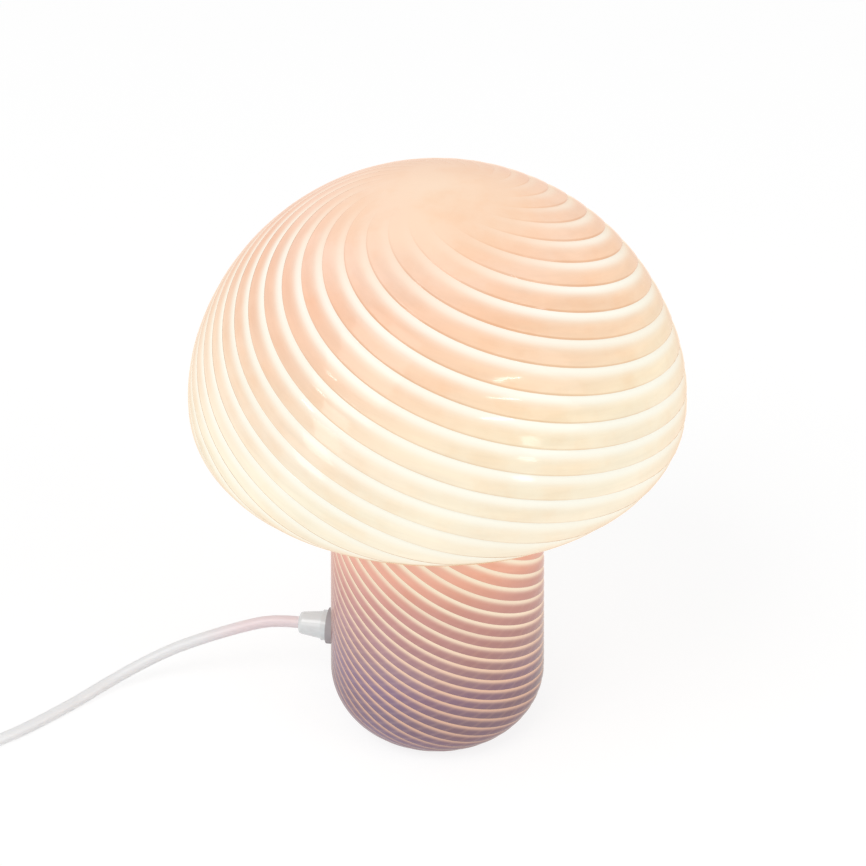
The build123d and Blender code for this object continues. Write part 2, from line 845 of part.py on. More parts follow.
def switch_screws():
    """Two screws put in from below."""
    low = 0.4
    head = switch_screw_holes(switch_screw_head, low, low + switch_screw_head_depth)
    shank = switch_screw_holes(switch_screw_radius, low, low + switch_screw_length)
    return Compound([switch_place * (one + other) for one, other in zip(head, shank)])


def plug_body():
    """Flat moulded two-pin plug with its cord boot."""
    half, waist = plug_width / 2, plug_waist_width / 2
    outline = Polyline(
        (plug_waist, -waist),
        (plug_shoulder, -half + 1),
        (plug_length, -half),
        (plug_length, half),
        (plug_shoulder, half - 1),
        (plug_waist, waist),
        close=True,
    )
    block = extrude(make_face(outline), plug_thickness)
    long_edges = [
        edge
        for edge in block.edges()
        if abs((edge % 0.5).Z) < 0.5 and edge.center().X < plug_length - 1
    ]
    block = fillet(long_edges, plug_edge_fillet)
    boot = Rot(0, 90, 0) * turned((0, 0), (boot_radius, 0), (waist - 0.4, plug_shoulder), (0, plug_shoulder))
    return plug_place * (block + Pos(0, 0, plug_thickness / 2) * boot)


def plug_pins():
    """Two round pins."""
    pin = turned((0, 0), (pin_radius, 0), (pin_radius, pin_length - pin_tip),
                 (pin_radius - pin_tip, pin_length), (0, pin_length))
    pair = []
    for side in (-1, 1):
        spot = Pos(plug_length, side * pin_spacing / 2, plug_thickness / 2) * Rot(0, 90, 0)
        pair.append(plug_place * spot * pin)
    return Compound(pair)


# ---------------------------------------------------------------- files
pieces = {
    "glass_body": glass_body(),
    "foot_ring": foot_ring(),
    "outlet_washer": outer_washer(),
    "outlet_gland": outlet_gland(),
    "inner_washer": inner_washer(),
    "outlet_nut": outlet_nut(),
    "inner_lead": cord_piece("inner_lead", inner_lead_points),
    "cord_run": cord_piece("cord_run", cord_run_points),
    "switch_lower_housing": switch_lower_housing(),
    "switch_upper_housing": switch_upper_housing(),
    "switch_screws": switch_screws(),
    "switch_contacts": switch_contacts(),
    "switch_rocker": switch_rocker(),
    "cord_tail": cord_piece("cord_tail", cord_tail_points),
    "cord_coil": cord_tube("cord_coil", coil_line, coil_sides, (0, 0, 1)),
    "plug_lead": cord_piece("plug_lead", plug_lead_points),
    "plug_body": plug_body(),
    "plug_pins": plug_pins(),
    "base_disc": base_disc(),
    "grip_collar": grip_collar(),
    "holder_bracket": holder_bracket(),
    "bracket_screws": bracket_screws(),
    "threaded_nipple": threaded_nipple(),
    "nipple_nut": nipple_nut(),
    "toothed_washer": toothed_washer(),
    "holder_cap": holder_cap(),
    "holder_skirt": holder_skirt(),
    "holder_core": holder_core(),
    "terminal_screws": terminal_screws(),
    "screw_shell": screw_shell(),
    "centre_contact": centre_contact(),
    "bulb_button": bulb_button(),
    "cap_insulator": cap_insulator(),
    "bulb_cap": bulb_cap(),
    "bulb_globe": bulb_globe(),
    "bulb_stem": bulb_stem(),
    "led_filaments": led_filaments(),
}
os.makedirs("parts", exist_ok=True)
for name, shape in pieces.items():
    export_step(shape, f"parts/{name}.step")
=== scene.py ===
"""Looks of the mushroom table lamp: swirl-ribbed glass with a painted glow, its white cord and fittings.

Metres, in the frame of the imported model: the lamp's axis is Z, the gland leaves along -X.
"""

import logging
import math
from dataclasses import dataclass
from enum import Enum
from functools import cache
from typing import Callable, ClassVar

import bpy
from mathutils import Matrix, Vector


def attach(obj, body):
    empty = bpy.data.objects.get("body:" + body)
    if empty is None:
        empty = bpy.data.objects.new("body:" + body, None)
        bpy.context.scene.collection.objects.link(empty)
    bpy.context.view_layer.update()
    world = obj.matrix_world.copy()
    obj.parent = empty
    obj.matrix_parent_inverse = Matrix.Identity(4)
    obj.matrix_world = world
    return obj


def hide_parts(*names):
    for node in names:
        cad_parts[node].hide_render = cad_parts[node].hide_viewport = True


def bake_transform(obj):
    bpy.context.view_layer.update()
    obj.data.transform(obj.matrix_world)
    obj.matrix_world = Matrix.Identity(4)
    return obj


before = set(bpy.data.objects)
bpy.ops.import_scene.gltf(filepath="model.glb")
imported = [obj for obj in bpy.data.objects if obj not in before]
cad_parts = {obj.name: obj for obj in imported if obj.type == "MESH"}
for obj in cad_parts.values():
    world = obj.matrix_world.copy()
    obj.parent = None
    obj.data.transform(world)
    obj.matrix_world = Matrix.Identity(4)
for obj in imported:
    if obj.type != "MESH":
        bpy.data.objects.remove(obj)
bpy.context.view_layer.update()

Socket = bpy.types.NodeSocket
Tree = bpy.types.NodeTree
Object = bpy.types.Object

MM = 0.001
WHITE = (1.0, 1.0, 1.0, 1.0)
FULL_TURN = 2 * math.pi
SHAPE_OUT = {"Geometry": "Geometry"}
CORD_ROUNDNESS = 5
CORD_STEPS = 6
log = logging.getLogger("mushroom_lamp")


class Body(Enum):
    """The bodies that pieces ride on."""

    LAMP = "lamp"
    ROCKER = "rocker"
    CARRIER = "carrier"
    BULB = "bulb"


class Pattern(Enum):
    """How a finish's relief runs over the surface."""

    GRAINED = "grained"
    TURNED = "turned"


# ---------------------------------------------------------------- node drawing


class NodeSheet:
    """A node tree being drawn, with short calls that place nodes and join them."""

    COLUMNS = 9
    COLUMN_WIDTH = 180
    ROW_HEIGHT = 220

    def __init__(self, tree: Tree) -> None:
        """Starts on an empty tree.

        Args:
            tree: the tree to draw in; its old nodes are cleared.
        """
        self.tree = tree
        tree.nodes.clear()

    def add(self, kind: str, inputs: dict | None = None, **settings) -> bpy.types.Node:
        """Places one node.

        Args:
            kind: the node's type name.
            inputs: values or sockets by input name or number.
            settings: the node's own properties.

        Returns:
            The node.
        """
        node = self.tree.nodes.new(kind)
        row, column = divmod(len(self.tree.nodes), self.COLUMNS)
        node.location = (self.COLUMN_WIDTH * column, -self.ROW_HEIGHT * row)
        for name, value in settings.items():
            setattr(node, name, value)
        for name, value in (inputs or {}).items():
            self.feed(node.inputs[name], value)
        return node

    def out(self, kind: str, inputs: dict | None = None, **settings) -> Socket:
        """Places one node, as add does, and returns its first output."""
        return self.add(kind, inputs, **settings).outputs[0]

    def feed(self, socket: Socket, value: object) -> None:
        """Links a socket or sets a constant on it.

        Args:
            socket: the input to fill.
            value: an output socket, a number, a colour or a vector.
        """
        if isinstance(value, Socket):
            self.tree.links.new(value, socket)
        else:
            socket.default_value = value

    def math(self, operation: str, *terms: object, clamp: bool = False) -> Socket:
        """Places a Math node.

        Args:
            operation: the node's operation.
            terms: up to three numbers or sockets.
            clamp: keep the result within 0 to 1.

        Returns:
            The result's socket.
        """
        inputs = dict(enumerate(terms))
        return self.out("ShaderNodeMath", inputs, operation=operation, use_clamp=clamp)

    def times(self, first: object, second: object, clamp: bool = False) -> Socket:
        """Multiplies two numbers or sockets."""
        return self.math("MULTIPLY", first, second, clamp=clamp)

    def plus(self, first: object, second: object) -> Socket:
        """Adds two numbers or sockets."""
        return self.math("ADD", first, second)

    def less(self, first: object, second: object, clamp: bool = False) -> Socket:
        """Takes the second number or socket from the first."""
        return self.math("SUBTRACT", first, second, clamp=clamp)

    def scaled(self, value: object, factor: object, added: object) -> Socket:
        """Multiplies by a factor, then adds."""
        return self.math("MULTIPLY_ADD", value, factor, added)

    def split(self, vector: object) -> list[Socket]:
        """Takes a vector apart into X, Y and Z."""
        return list(self.add("ShaderNodeSeparateXYZ", {0: vector}).outputs)

    def joined(self, x: object = 0.0, y: object = 0.0, z: object = 0.0) -> Socket:
        """Puts X, Y and Z together into a vector."""
        return self.out("ShaderNodeCombineXYZ", {0: x, 1: y, 2: z})

    def ease(self, value: object, low: object, high: object, ends: tuple = (0.0, 1.0)) -> Socket:
        """Maps low to high smoothly onto the two ends.

        Args:
            value: the socket to map.
            low: where the first end holds.
            high: where the second end holds.
            ends: the two results.

        Returns:
            The result's socket.
        """
        inputs = {"Value": value, "From Min": low, "From Max": high}
        inputs |= {"To Min": ends[0], "To Max": ends[1]}
        node = self.add("ShaderNodeMapRange", inputs, interpolation_type="SMOOTHSTEP")
        return node.outputs["Result"]

    def noise(self, place: object, scale: object, detail: float = 2.0, rough: float = 0.5) -> Socket:
        """Places a noise.

        Args:
            place: the coordinates' socket.
            scale: blobs per metre, about.
            detail: octaves.
            rough: share of the finer octaves.

        Returns:
            The value's socket.
        """
        inputs = {"Vector": place, "Scale": scale, "Detail": detail, "Roughness": rough}
        return self.out("ShaderNodeTexNoise", inputs)

    def mix(self, share: object, first: object, second: object, kind: str = "MIX") -> Socket:
        """Mixes two colours.

        Args:
            share: how much of the second.
            first: a colour or socket.
            second: a colour or socket.
            kind: the blend type.

        Returns:
            The colour's socket.
        """
        node = self.add("ShaderNodeMix", data_type="RGBA", blend_type=kind)
        for socket, value in zip((node.inputs[0], node.inputs[6], node.inputs[7]), (share, first, second)):
            self.feed(socket, value)
        return node.outputs[2]

    def filtered(self, colour: object, tint: object) -> Socket:
        """Multiplies a colour by a tint."""
        return self.mix(1.0, colour, tint, "MULTIPLY")

    def group(self, tree: Tree, inputs: dict) -> bpy.types.NodeOutputs:
        """Places a shader group.

        Args:
            tree: the group's tree.
            inputs: values or sockets by input name.

        Returns:
            The group's outputs by name.
        """
        node = self.add("ShaderNodeGroup", node_tree=tree)
        for name, value in inputs.items():
            self.feed(node.inputs[name], value)
        return node.outputs

    def skinned(self, skin: dict) -> None:
        """Ends a material with one Principled skin made of the given inputs."""
        surface = self.out("ShaderNodeBsdfPrincipled", skin)
        self.add("ShaderNodeOutputMaterial", {"Surface": surface})

    def ramp(self, share: object, stops: list[tuple[float, tuple]]) -> Socket:
        """Places a colour ramp.

        Args:
            share: the socket that picks the colour.
            stops: places from 0 to 1 and their colours.

        Returns:
            The colour's socket.
        """
        node = self.add("ShaderNodeValToRGB", {0: share})
        band = node.color_ramp
        while len(band.elements) < len(stops):
            band.elements.new(0.5)
        for element, (place, _) in zip(band.elements, stops):
            element.position = place
        for element, (_, colour) in zip(band.elements, stops):
            element.color = colour
        return node.outputs[0]


def linear(code: str) -> tuple[float, float, float, float]:
    """Turns a written colour such as "f0e4d8" into scene-linear RGBA."""
    parts = [int(code[at : at + 2], 16) / 255 for at in (0, 2, 4)]
    return (*[c / 12.92 if c <= 0.04045 else ((c + 0.055) / 1.055) ** 2.4 for c in parts], 1.0)


def new_tree(kind: str, name: str, takes: dict[str, str], gives: dict[str, str]) -> tuple:
    """Starts a node tree with named sockets.

    Args:
        kind: "Shader" or "Geometry".
        name: the tree's name.
        takes: input names and socket kinds.
        gives: output names and socket kinds.

    Returns:
        The tree, the sheet to draw it on, and the tree's inputs by name.
    """
    tree = bpy.data.node_groups.new(name, f"{kind}NodeTree")
    for way, sockets in (("INPUT", takes), ("OUTPUT", gives)):
        for label, socket in sockets.items():
            tree.interface.new_socket(label, in_out=way, socket_type=f"NodeSocket{socket}")
    sheet = NodeSheet(tree)
    return tree, sheet, sheet.add("NodeGroupInput").outputs


def new_material(name: str) -> tuple:
    """Starts a node material.

    Args:
        name: the material's name.

    Returns:
        The material, the sheet to draw it on, and the socket of the object's own coordinates.
    """
    made = bpy.data.materials.new(name)
    made.use_nodes = True
    sheet = NodeSheet(made.node_tree)
    return made, sheet, sheet.add("ShaderNodeTexCoord").outputs["Object"]


@cache
def surface_wear() -> Tree:
    """Group for handled surfaces: colour drift, roughness smudges and fine relief.

    Returns:
        The group, with Vector, Drift scale and Relief scale in, and Drift, Smudge, Relief out.
    """
    takes = {"Vector": "Vector", "Drift scale": "Float", "Relief scale": "Float"}
    gives = {"Drift": "Float", "Smudge": "Float", "Relief": "Float"}
    tree, sheet, given = new_tree("Shader", "surface_wear", takes, gives)
    drift = sheet.noise(given["Vector"], given["Drift scale"], 3.0)
    smudge_scale = sheet.times(given["Drift scale"], 4.0)
    smudge = sheet.ease(sheet.noise(given["Vector"], smudge_scale, 4.0, 0.65), 0.38, 0.68)
    fine = sheet.noise(given["Vector"], given["Relief scale"])
    sheet.add("NodeGroupOutput", {"Drift": drift, "Smudge": smudge, "Relief": fine})
    return tree


@cache
def turned_rings() -> Tree:
    """Group for turned and drawn metal: fine rings round the lamp's axis.

    Returns:
        The group, with Vector and Rings per metre in, and Rings out.
    """
    takes = {"Vector": "Vector", "Rings per metre": "Float"}
    tree, sheet, given = new_tree("Shader", "turned_rings", takes, {"Rings": "Float"})
    line = sheet.joined(z=sheet.split(given["Vector"])[2])
    rings = sheet.noise(line, given["Rings per metre"], 3.0, 0.7)
    sheet.add("NodeGroupOutput", {"Rings": rings})
    return tree


# ---------------------------------------------------------------- finishes


@dataclass(frozen=True)
class Finish:
    """A moulded, turned or grained surface of one colour family.

    A painted glow colour takes over along X within a reach in metres from the lamp, where the lamp's light
    falls.
    """

    name: str
    colour: str
    drift_colour: str
    roughness: float
    metallic: float = 0.0
    relief: float = 0.05
    relief_scale: float = 1400.0
    pattern: Pattern = Pattern.GRAINED
    coat: float = 0.0
    transmission: float = 0.0
    subsurface: float = 0.0
    glow: float = 0.0
    lamp_glow_colour: str = ""
    lamp_glow_reach: tuple[float, float] = (-0.112, -0.084)
    smudge_spread: float = 0.25
    least_spread: float = 0.03
    drift_scale: float = 55.0
    rings_a_metre: float = 3200.0
    rings_share: float = 0.8
    relief_height: float = 0.0004
    coat_roughness: float = 0.08
    subsurface_reach: tuple[float, float, float] = (0.002, 0.0018, 0.0016)

    @cache
    def material(self) -> bpy.types.Material:
        """Builds the finish's material once.

        Returns:
            The material.
        """
        made, sheet, place = new_material(f"{self.name}_finish")
        inputs = {"Vector": place, "Drift scale": self.drift_scale, "Relief scale": self.relief_scale}
        wear = sheet.group(surface_wear(), inputs)
        colour = sheet.mix(wear["Drift"], linear(self.colour), linear(self.drift_colour))
        # painted light: the cord takes on the lamp's pink glow near the lamp
        if self.lamp_glow_colour:
            near = sheet.ease(sheet.split(place)[0], *self.lamp_glow_reach)
            colour = sheet.mix(near, colour, linear(self.lamp_glow_colour))
        spread = self.smudge_spread * self.roughness + self.least_spread
        rough = sheet.scaled(wear["Smudge"], spread, self.roughness - spread / 3)
        height = wear["Relief"]
        if self.pattern is Pattern.TURNED:
            inputs = {"Vector": place, "Rings per metre": self.rings_a_metre}
            rings = sheet.group(turned_rings(), inputs)["Rings"]
            height = sheet.scaled(rings, self.rings_share, height)
        inputs = {"Strength": self.relief, "Distance": self.relief_height, "Height": height}
        bump = sheet.out("ShaderNodeBump", inputs)
        skin = {"Base Color": colour, "Roughness": rough, "Metallic": self.metallic, "Normal": bump}
        skin |= {"Coat Weight": self.coat, "Coat Roughness": self.coat_roughness}
        skin |= {"Transmission Weight": self.transmission, "Subsurface Weight": self.subsurface}
        skin |= {"Subsurface Radius": self.subsurface_reach}
        if self.glow:
            skin |= {"Emission Color": colour, "Emission Strength": self.glow}
        sheet.skinned(skin)
        return made


@dataclass(frozen=True)
class PaintedGlowSwirlFinish:
    """Opal glass with a painted glow, emission that stands in for the light from inside with no lamp burning
    in it: cream lines between rose bands that follow the ribs.

    A run is the way along the outline from the top of the cap, in millimetres. Across goes from one
    line to the next, 0 to 1.
    """

    name: str = "painted_glow_swirl_glass"
    run_length: float = 360.0
    line_runs: tuple = (20.0, 62.0)
    # strength of the painted glow that stands in for the light from inside
    glow: float = 0.71
    lit_share: float = 0.31
    wobble: float = 0.035
    sway_scale: float = 38.0
    stem_pinch: float = 1.2
    pinch_runs: tuple = (200.0, 275.0)
    rib_strength: tuple = (0.14, 0.88)
    streak_seed: float = 3.7
    streak_stretch: float = 16.0
    streak_noise: tuple = (2.6, 3.0, 0.6)
    streak_share: float = 0.17
    cloud_noise: tuple = (21.0, 3.0)
    cloud_range: tuple = (0.17, 0.915)
    blush_noise: tuple = (47.0, 4.0, 0.62)
    blush_ease: tuple = (0.42, 0.7, (0.0, 0.5))
    blush_tint: str = "fdf0e4"
    lines_round: int = 24
    # painted light: the far wall's lines, as they show through the glowing stem
    back_from: float = 227.4
    back_lines_per_mm: float = 0.1125
    back_lines_gain: float = 0.000836
    back_share: float = 0.075
    back_ease: tuple = (0.26, 0.5)
    back_fade: tuple = (20.0, 60.0)
    show_through_colour: str = "e9c3ad"
    # painted shade along the crease at the lower edge of each band
    crease_shade_ease: tuple = (0.925, 0.985)
    crease_shade_tint: str = "f3e8df"
    # brightens the painted glow's colour; the side tints are divided by it
    lift: float = 1.2
    side_reach: float = 0.06
    stem_runs: tuple = (225.0, 255.0)
    stem_nearness: float = 2.1
    left_tint: tuple = (
        (0.0, (0.99, 1.03, 1.05)), (45.0, (0.99, 1.02, 1.06)), (72.0, (0.985, 1.05, 1.12)),
        (115.0, (1.0, 1.08, 1.15)), (145.0, (1.0, 1.09, 1.13)), (225.0, (1.0, 1.03, 1.05)),
        (255.0, (1.03, 1.07, 1.12)), (290.0, (1.1, 1.14, 1.2)), (352.0, (1.12, 1.16, 1.2)),
    )
    right_tint: tuple = (
        (0.0, (0.985, 0.99, 0.96)), (18.0, (0.98, 0.95, 0.89)), (42.0, (0.985, 0.98, 0.94)),
        (72.0, (1.0, 1.15, 1.17)), (115.0, (1.0, 1.17, 1.2)), (145.0, (1.0, 1.05, 1.07)),
        (225.0, (1.0, 1.04, 1.04)), (255.0, (1.02, 1.03, 0.98)), (290.0, (1.05, 0.97, 0.85)),
        (352.0, (1.04, 0.97, 0.84)),
    )
    # painted shade: the brown that the painted glow takes at grazing angles, a darker rim
    rim_shade_tint: tuple = (0.5, 0.28, 0.06, 1.0)
    rim_shade_share: float = 2.4
    plain_reflection: float = 0.035
    bend_of_light: float = 1.27
    ripple_scale: float = 150.0
    ripple_strength: float = 0.04
    ripple_height: float = 0.001
    gloss_noise: tuple = (60.0, 3.0)
    gloss_range: tuple = (0.08, 0.06)
    fade: tuple = (
        (0.0, 0.8), (0.04, 1.0), (0.15, 0.97), (0.27, 0.7), (0.36, 0.38), (0.46, 0.15), (0.58, 0.03),
        (0.7, 0.0),
    )
    # colours along the run: the glass's real rose and mauve, darkened towards the stem's foot as painted
    # shade where the painted glow falls off
    bands: tuple = (
        (0.0, "fddec4"), (35.0, "fdd9be"), (52.0, "fcd2b8"), (70.0, "fac5a4"), (90.0, "facbaa"),
        (108.0, "fbd8b8"), (124.0, "fce1c5"), (140.0, "fdeacf"), (175.0, "fdecd4"), (226.0, "f4bda4"),
        (248.0, "ecad97"), (265.0, "cc958c"), (282.0, "b4898a"), (297.0, "9e8089"), (310.0, "8a7186"),
        (324.0, "816d7c"), (337.0, "806a7e"), (352.0, "7d6c7c"),
    )
    lines: tuple = (
        (0.0, "fde1c9"), (50.0, "fff1de"), (70.0, "fffcf0"), (90.0, "fefcee"), (140.0, "fefcef"),
        (200.0, "fff4dc"), (248.0, "fef1d6"), (264.0, "feedd2"), (278.0, "ffe8cd"), (292.0, "fcdabf"),
        (308.0, "f3c9ad"), (324.0, "e6bca3"), (337.0, "d2ae9c"), (352.0, "a99090"),
    )

    def shares(self, runs: tuple) -> list[float]:
        """Turns runs into places from 0 to 1, as the UV map has them."""
        return [run / self.run_length for run in runs]

    def along(self, sheet: NodeSheet, run: Socket, stops: tuple, read: Callable) -> Socket:
        """Places a ramp of colours along the run.

        Args:
            sheet: the sheet to draw on.
            run: the run's socket, from 0 to 1.
            stops: runs and what stands for their colours.
            read: turns that into a colour.

        Returns:
            The colour's socket.
        """
        return sheet.ramp(run, [(place / self.run_length, read(value)) for place, value in stops])

    def mottled(self, sheet: NodeSheet, given: dict, across: Socket, shown: Socket, band: Socket) -> Socket:
        """Adds streaks along the ribs, clouds and a blush to the colour between the lines.

        Args:
            sheet: the group's sheet.
            given: the group's inputs.
            across: place between two lines.
            shown: how far the lines have faded in.
            band: the plain colour.

        Returns:
            The mottled colour's socket.
        """
        seed = sheet.times(given["Rib"], self.streak_seed)
        flow = sheet.plus(across, seed), sheet.scaled(given["Run"], self.streak_stretch, seed), seed
        streak = sheet.noise(sheet.joined(*flow), *self.streak_noise)
        streak = sheet.times(sheet.less(streak, 0.5), shown)
        cloud = sheet.noise(given["Vector"], *self.cloud_noise)
        tone = sheet.scaled(streak, self.streak_share, sheet.scaled(cloud, *self.cloud_range))
        band = sheet.filtered(band, tone)
        blush = sheet.ease(sheet.noise(given["Vector"], *self.blush_noise), *self.blush_ease)
        return sheet.mix(blush, band, sheet.filtered(band, linear(self.blush_tint)))

    def painted_back_wall(self, sheet: NodeSheet, run: Socket, sideways: Socket, forth: Socket) -> Socket:
        """Paints the lines of the stem's far wall as they show through the glowing near wall, painted light
        that crosses the near wall's own lines.

        Args:
            sheet: the group's sheet.
            run: the run's socket, from 0 to 1.
            sideways: X.
            forth: Y.

        Returns:
            The mask's socket.
        """
        turn = sheet.math("ARCTAN2", sideways, sheet.times(forth, -1.0))
        down = sheet.scaled(run, self.run_length, -self.back_from)
        rate = sheet.scaled(down, self.back_lines_gain / 2, self.back_lines_per_mm)
        passed = sheet.scaled(turn, self.lines_round / FULL_TURN, sheet.times(down, rate))
        from_line = sheet.math("ABSOLUTE", sheet.less(sheet.math("FRACT", passed), 0.5))
        strength = sheet.ease(down, *self.back_fade, (0.0, self.back_share))
        return sheet.times(sheet.ease(from_line, *self.back_ease), strength)

    def side_tint(self, sheet: NodeSheet, run: Socket, sideways: Socket) -> Socket:
        """Mixes the tints of the left and the right side, divided by the lift.

        Args:
            sheet: the group's sheet.
            run: the run's socket, from 0 to 1.
            sideways: X.

        Returns:
            The tint's socket.
        """
        left, right = (
            self.along(sheet, run, stops, lambda tint: (*[part / self.lift for part in tint], 1.0))
            for stops in (self.left_tint, self.right_tint)
        )
        nearer = sheet.ease(run, *self.shares(self.stem_runs), (1.0, self.stem_nearness))
        side = sheet.ease(sheet.times(sideways, nearer), -self.side_reach, self.side_reach)
        return sheet.mix(side, left, right)

    def stripes(self) -> Tree:
        """Group that colours the stripes.

        Returns:
            The group, with Across, Run, Rib and Vector in, and Colour out.
        """
        takes = {"Across": "Float", "Run": "Float", "Rib": "Float", "Vector": "Vector"}
        tree, sheet, given = new_tree("Shader", "swirl_stripes", takes, {"Colour": "Color"})
        run = given["Run"]
        sideways, forth, _ = sheet.split(given["Vector"])
        sway = sheet.less(sheet.noise(given["Vector"], self.sway_scale), 0.5)
        across = sheet.scaled(sway, self.wobble, given["Across"])
        narrow = sheet.ease(run, *self.shares(self.pinch_runs), (1.0, self.stem_pinch))
        fade = [(place, (tone, tone, tone, 1.0)) for place, tone in self.fade]
        line = sheet.ramp(sheet.times(across, narrow, clamp=True), fade)
        shown = sheet.ease(run, *self.shares(self.line_runs))
        own = sheet.out("ShaderNodeTexWhiteNoise", {"W": given["Rib"]}, noise_dimensions="1D")
        line = sheet.times(sheet.times(line, shown), sheet.scaled(own, *self.rib_strength))
        band, bright = (self.along(sheet, run, stops, linear) for stops in (self.bands, self.lines))
        band = self.mottled(sheet, given, across, shown, band)
        # painted light: the far wall's lines shown through the near wall
        band = sheet.mix(self.painted_back_wall(sheet, run, sideways, forth), band, linear(self.show_through_colour))
        # painted shade: each band darkens along its crease
        crease_shade = sheet.times(sheet.ease(across, *self.crease_shade_ease), shown)
        band = sheet.mix(crease_shade, band, sheet.filtered(band, linear(self.crease_shade_tint)))
        tinted = sheet.filtered(band, self.side_tint(sheet, run, sideways))
        band = sheet.filtered(tinted, (self.lift, self.lift, self.lift, 1.0))
        sheet.add("NodeGroupOutput", {"Colour": sheet.mix(line, band, bright)})
        return tree

    def material(self) -> bpy.types.Material:
        """Builds the glass's material.

        Returns:
            The material.
        """
        made, sheet, place = new_material(self.name)
        across, run, _ = sheet.split(sheet.out("ShaderNodeUVMap", uv_map="swirl"))
        rib = sheet.add("ShaderNodeAttribute", attribute_name="rib").outputs["Fac"]
        takes = {"Across": across, "Run": run, "Rib": rib, "Vector": place}
        colour = sheet.group(self.stripes(), takes)["Colour"]
        ripple = sheet.noise(place, self.ripple_scale)
        inputs = {"Strength": self.ripple_strength, "Distance": self.ripple_height, "Height": ripple}
        bump = sheet.out("ShaderNodeBump", inputs)
        rough = sheet.scaled(sheet.noise(place, *self.gloss_noise), *self.gloss_range)
        # a share of the colour is lit by the lamps; the rest is the painted glow
        lit = (self.lit_share, self.lit_share, self.lit_share, 1.0)
        skin = {"Base Color": sheet.filtered(colour, lit), "Roughness": rough, "Normal": bump}
        skin |= {"IOR": self.bend_of_light, "Specular IOR Level": 0.5}
        # painted light: the glass emits its colour as glow, dimmed towards the brown rim tint at grazing
        # angles as painted shade
        mirrored = sheet.out("ShaderNodeFresnel", {"IOR": self.bend_of_light, "Normal": bump})
        rim_shade = sheet.times(sheet.less(mirrored, self.plain_reflection), self.rim_shade_share, clamp=True)
        leaving = sheet.filtered(colour, sheet.mix(rim_shade, WHITE, self.rim_shade_tint))
        sheet.skinned(skin | {"Emission Color": leaving, "Emission Strength": self.glow})
        return made


# its pink near the lamp is painted light from the glowing glass
CORD_SHEATH = Finish(
    "cord_sheath", "f4f5f6", "e9eaec", 0.34, relief=0.04, subsurface=0.15, lamp_glow_colour="efe1e4"
)
GLAND_WHITE = Finish("gland_white", "eaeeee", "dfe5e8", 0.22, relief=0.02, coat=0.3)
SHELL_WHITE = Finish("shell_white", "f0f0ee", "e8e8e5", 0.4, relief=0.12, relief_scale=2600.0)
ROCKER_WHITE = Finish("rocker_white", "e9eaec", "dfe1e4", 0.28, relief=0.03)
WASHER_GREY = Finish("washer_grey", "b9b6b8", "a9a6a9", 0.62, relief=0.1, relief_scale=2200.0)
CLEAR_SILICONE = Finish("clear_silicone", "e9ecec", "dde2e3", 0.42, relief=0.06, transmission=0.55)
SATIN_NICKEL = Finish("satin_nickel", "d5d1ca", "bdb8b0", 0.24, metallic=1.0, pattern=Pattern.TURNED)
ZINC_STEEL = Finish("zinc_steel", "c4c8cc", "a7adb4", 0.33, metallic=1.0, relief=0.08, relief_scale=900.0)
WHITE_STEEL = Finish("white_steel", "edeeee", "e1e2e2", 0.45, relief=0.22, relief_scale=1100.0)
BRASS = Finish("brass", "d9b36a", "c39a55", 0.27, metallic=1.0, relief=0.06, pattern=Pattern.TURNED)
CERAMIC = Finish("ceramic", "f0ebe2", "e3dccf", 0.5, relief=0.15, relief_scale=700.0)
BLACK_PLASTIC = Finish("black_plastic", "1f1f21", "2b2b2e", 0.45, relief=0.08)
OPAL_BULB = Finish("opal_bulb", "fbe6c4", "f8dfb8", 0.22, relief=0.02, glow=0.42)
FILAMENT = Finish("filament_coat", "ffc96b", "f7b54b", 0.5, relief=0.2, relief_scale=3000.0, glow=1.4)


# ---------------------------------------------------------------- shared making


def named_input(tree: Tree, name: str) -> str:
    """Finds the identifier of a tree's input by its name."""
    return next(s.identifier for s in tree.interface.items_tree if s.name == name and s.in_out == "INPUT")


def grown_mesh(carrier: Object, tree: Tree, sizes: dict[str, object]) -> None:
    """Runs a node tree on an object once and keeps the result as its plain mesh.

    Args:
        carrier: the object that holds the tree's starting mesh.
        tree: the tree to run.
        sizes: values of the tree's inputs by name.
    """
    modifier = carrier.modifiers.new(tree.name, "NODES")
    modifier.node_group = tree
    for name, value in sizes.items():
        modifier[named_input(tree, name)] = value
    graph = bpy.context.evaluated_depsgraph_get()
    grown = bpy.data.meshes.new_from_object(
        carrier.evaluated_get(graph), preserve_all_data_layers=True, depsgraph=graph
    )
    grown.name = carrier.name
    carrier.modifiers.remove(modifier)
    carrier.data = grown


def swept_round(sheet: NodeSheet, line: Socket, radius: Socket, corners: int) -> Socket:
    """Sweeps a circle of changing size along a line, with both ends closed.

    Args:
        sheet: the tree's sheet.
        line: the curve.
        radius: metres, along the curve.
        corners: corners of the circle.

    Returns:
        The mesh's socket.
    """
    sized = sheet.out("GeometryNodeSetCurveRadius", {"Curve": line, "Radius": radius})
    ring = sheet.out("GeometryNodeCurvePrimitiveCircle", {"Resolution": corners, "Radius": 1.0})
    swept = sheet.add("GeometryNodeCurveToMesh", {"Curve": sized, "Profile Curve": ring, "Fill Caps": True})
    if "Scale" in swept.inputs:
        sheet.feed(swept.inputs["Scale"], radius)
    return swept.outputs[0]


def finish_tree(sheet: NodeSheet, shape: Socket, material: Socket) -> None:
    """Ends a geometry tree: smooth faces, real geometry and the material.

    Args:
        sheet: the tree's sheet.
        shape: the geometry so far.
        material: the material's socket.
    """
    smooth = sheet.add("GeometryNodeSetShadeSmooth", {"Geometry": shape})
    real = sheet.add("GeometryNodeRealizeInstances", {"Geometry": smooth.outputs[0]})
    painted = sheet.add("GeometryNodeSetMaterial", {"Geometry": real.outputs[0], "Material": material})
    sheet.add("NodeGroupOutput", {0: painted.outputs[0]})


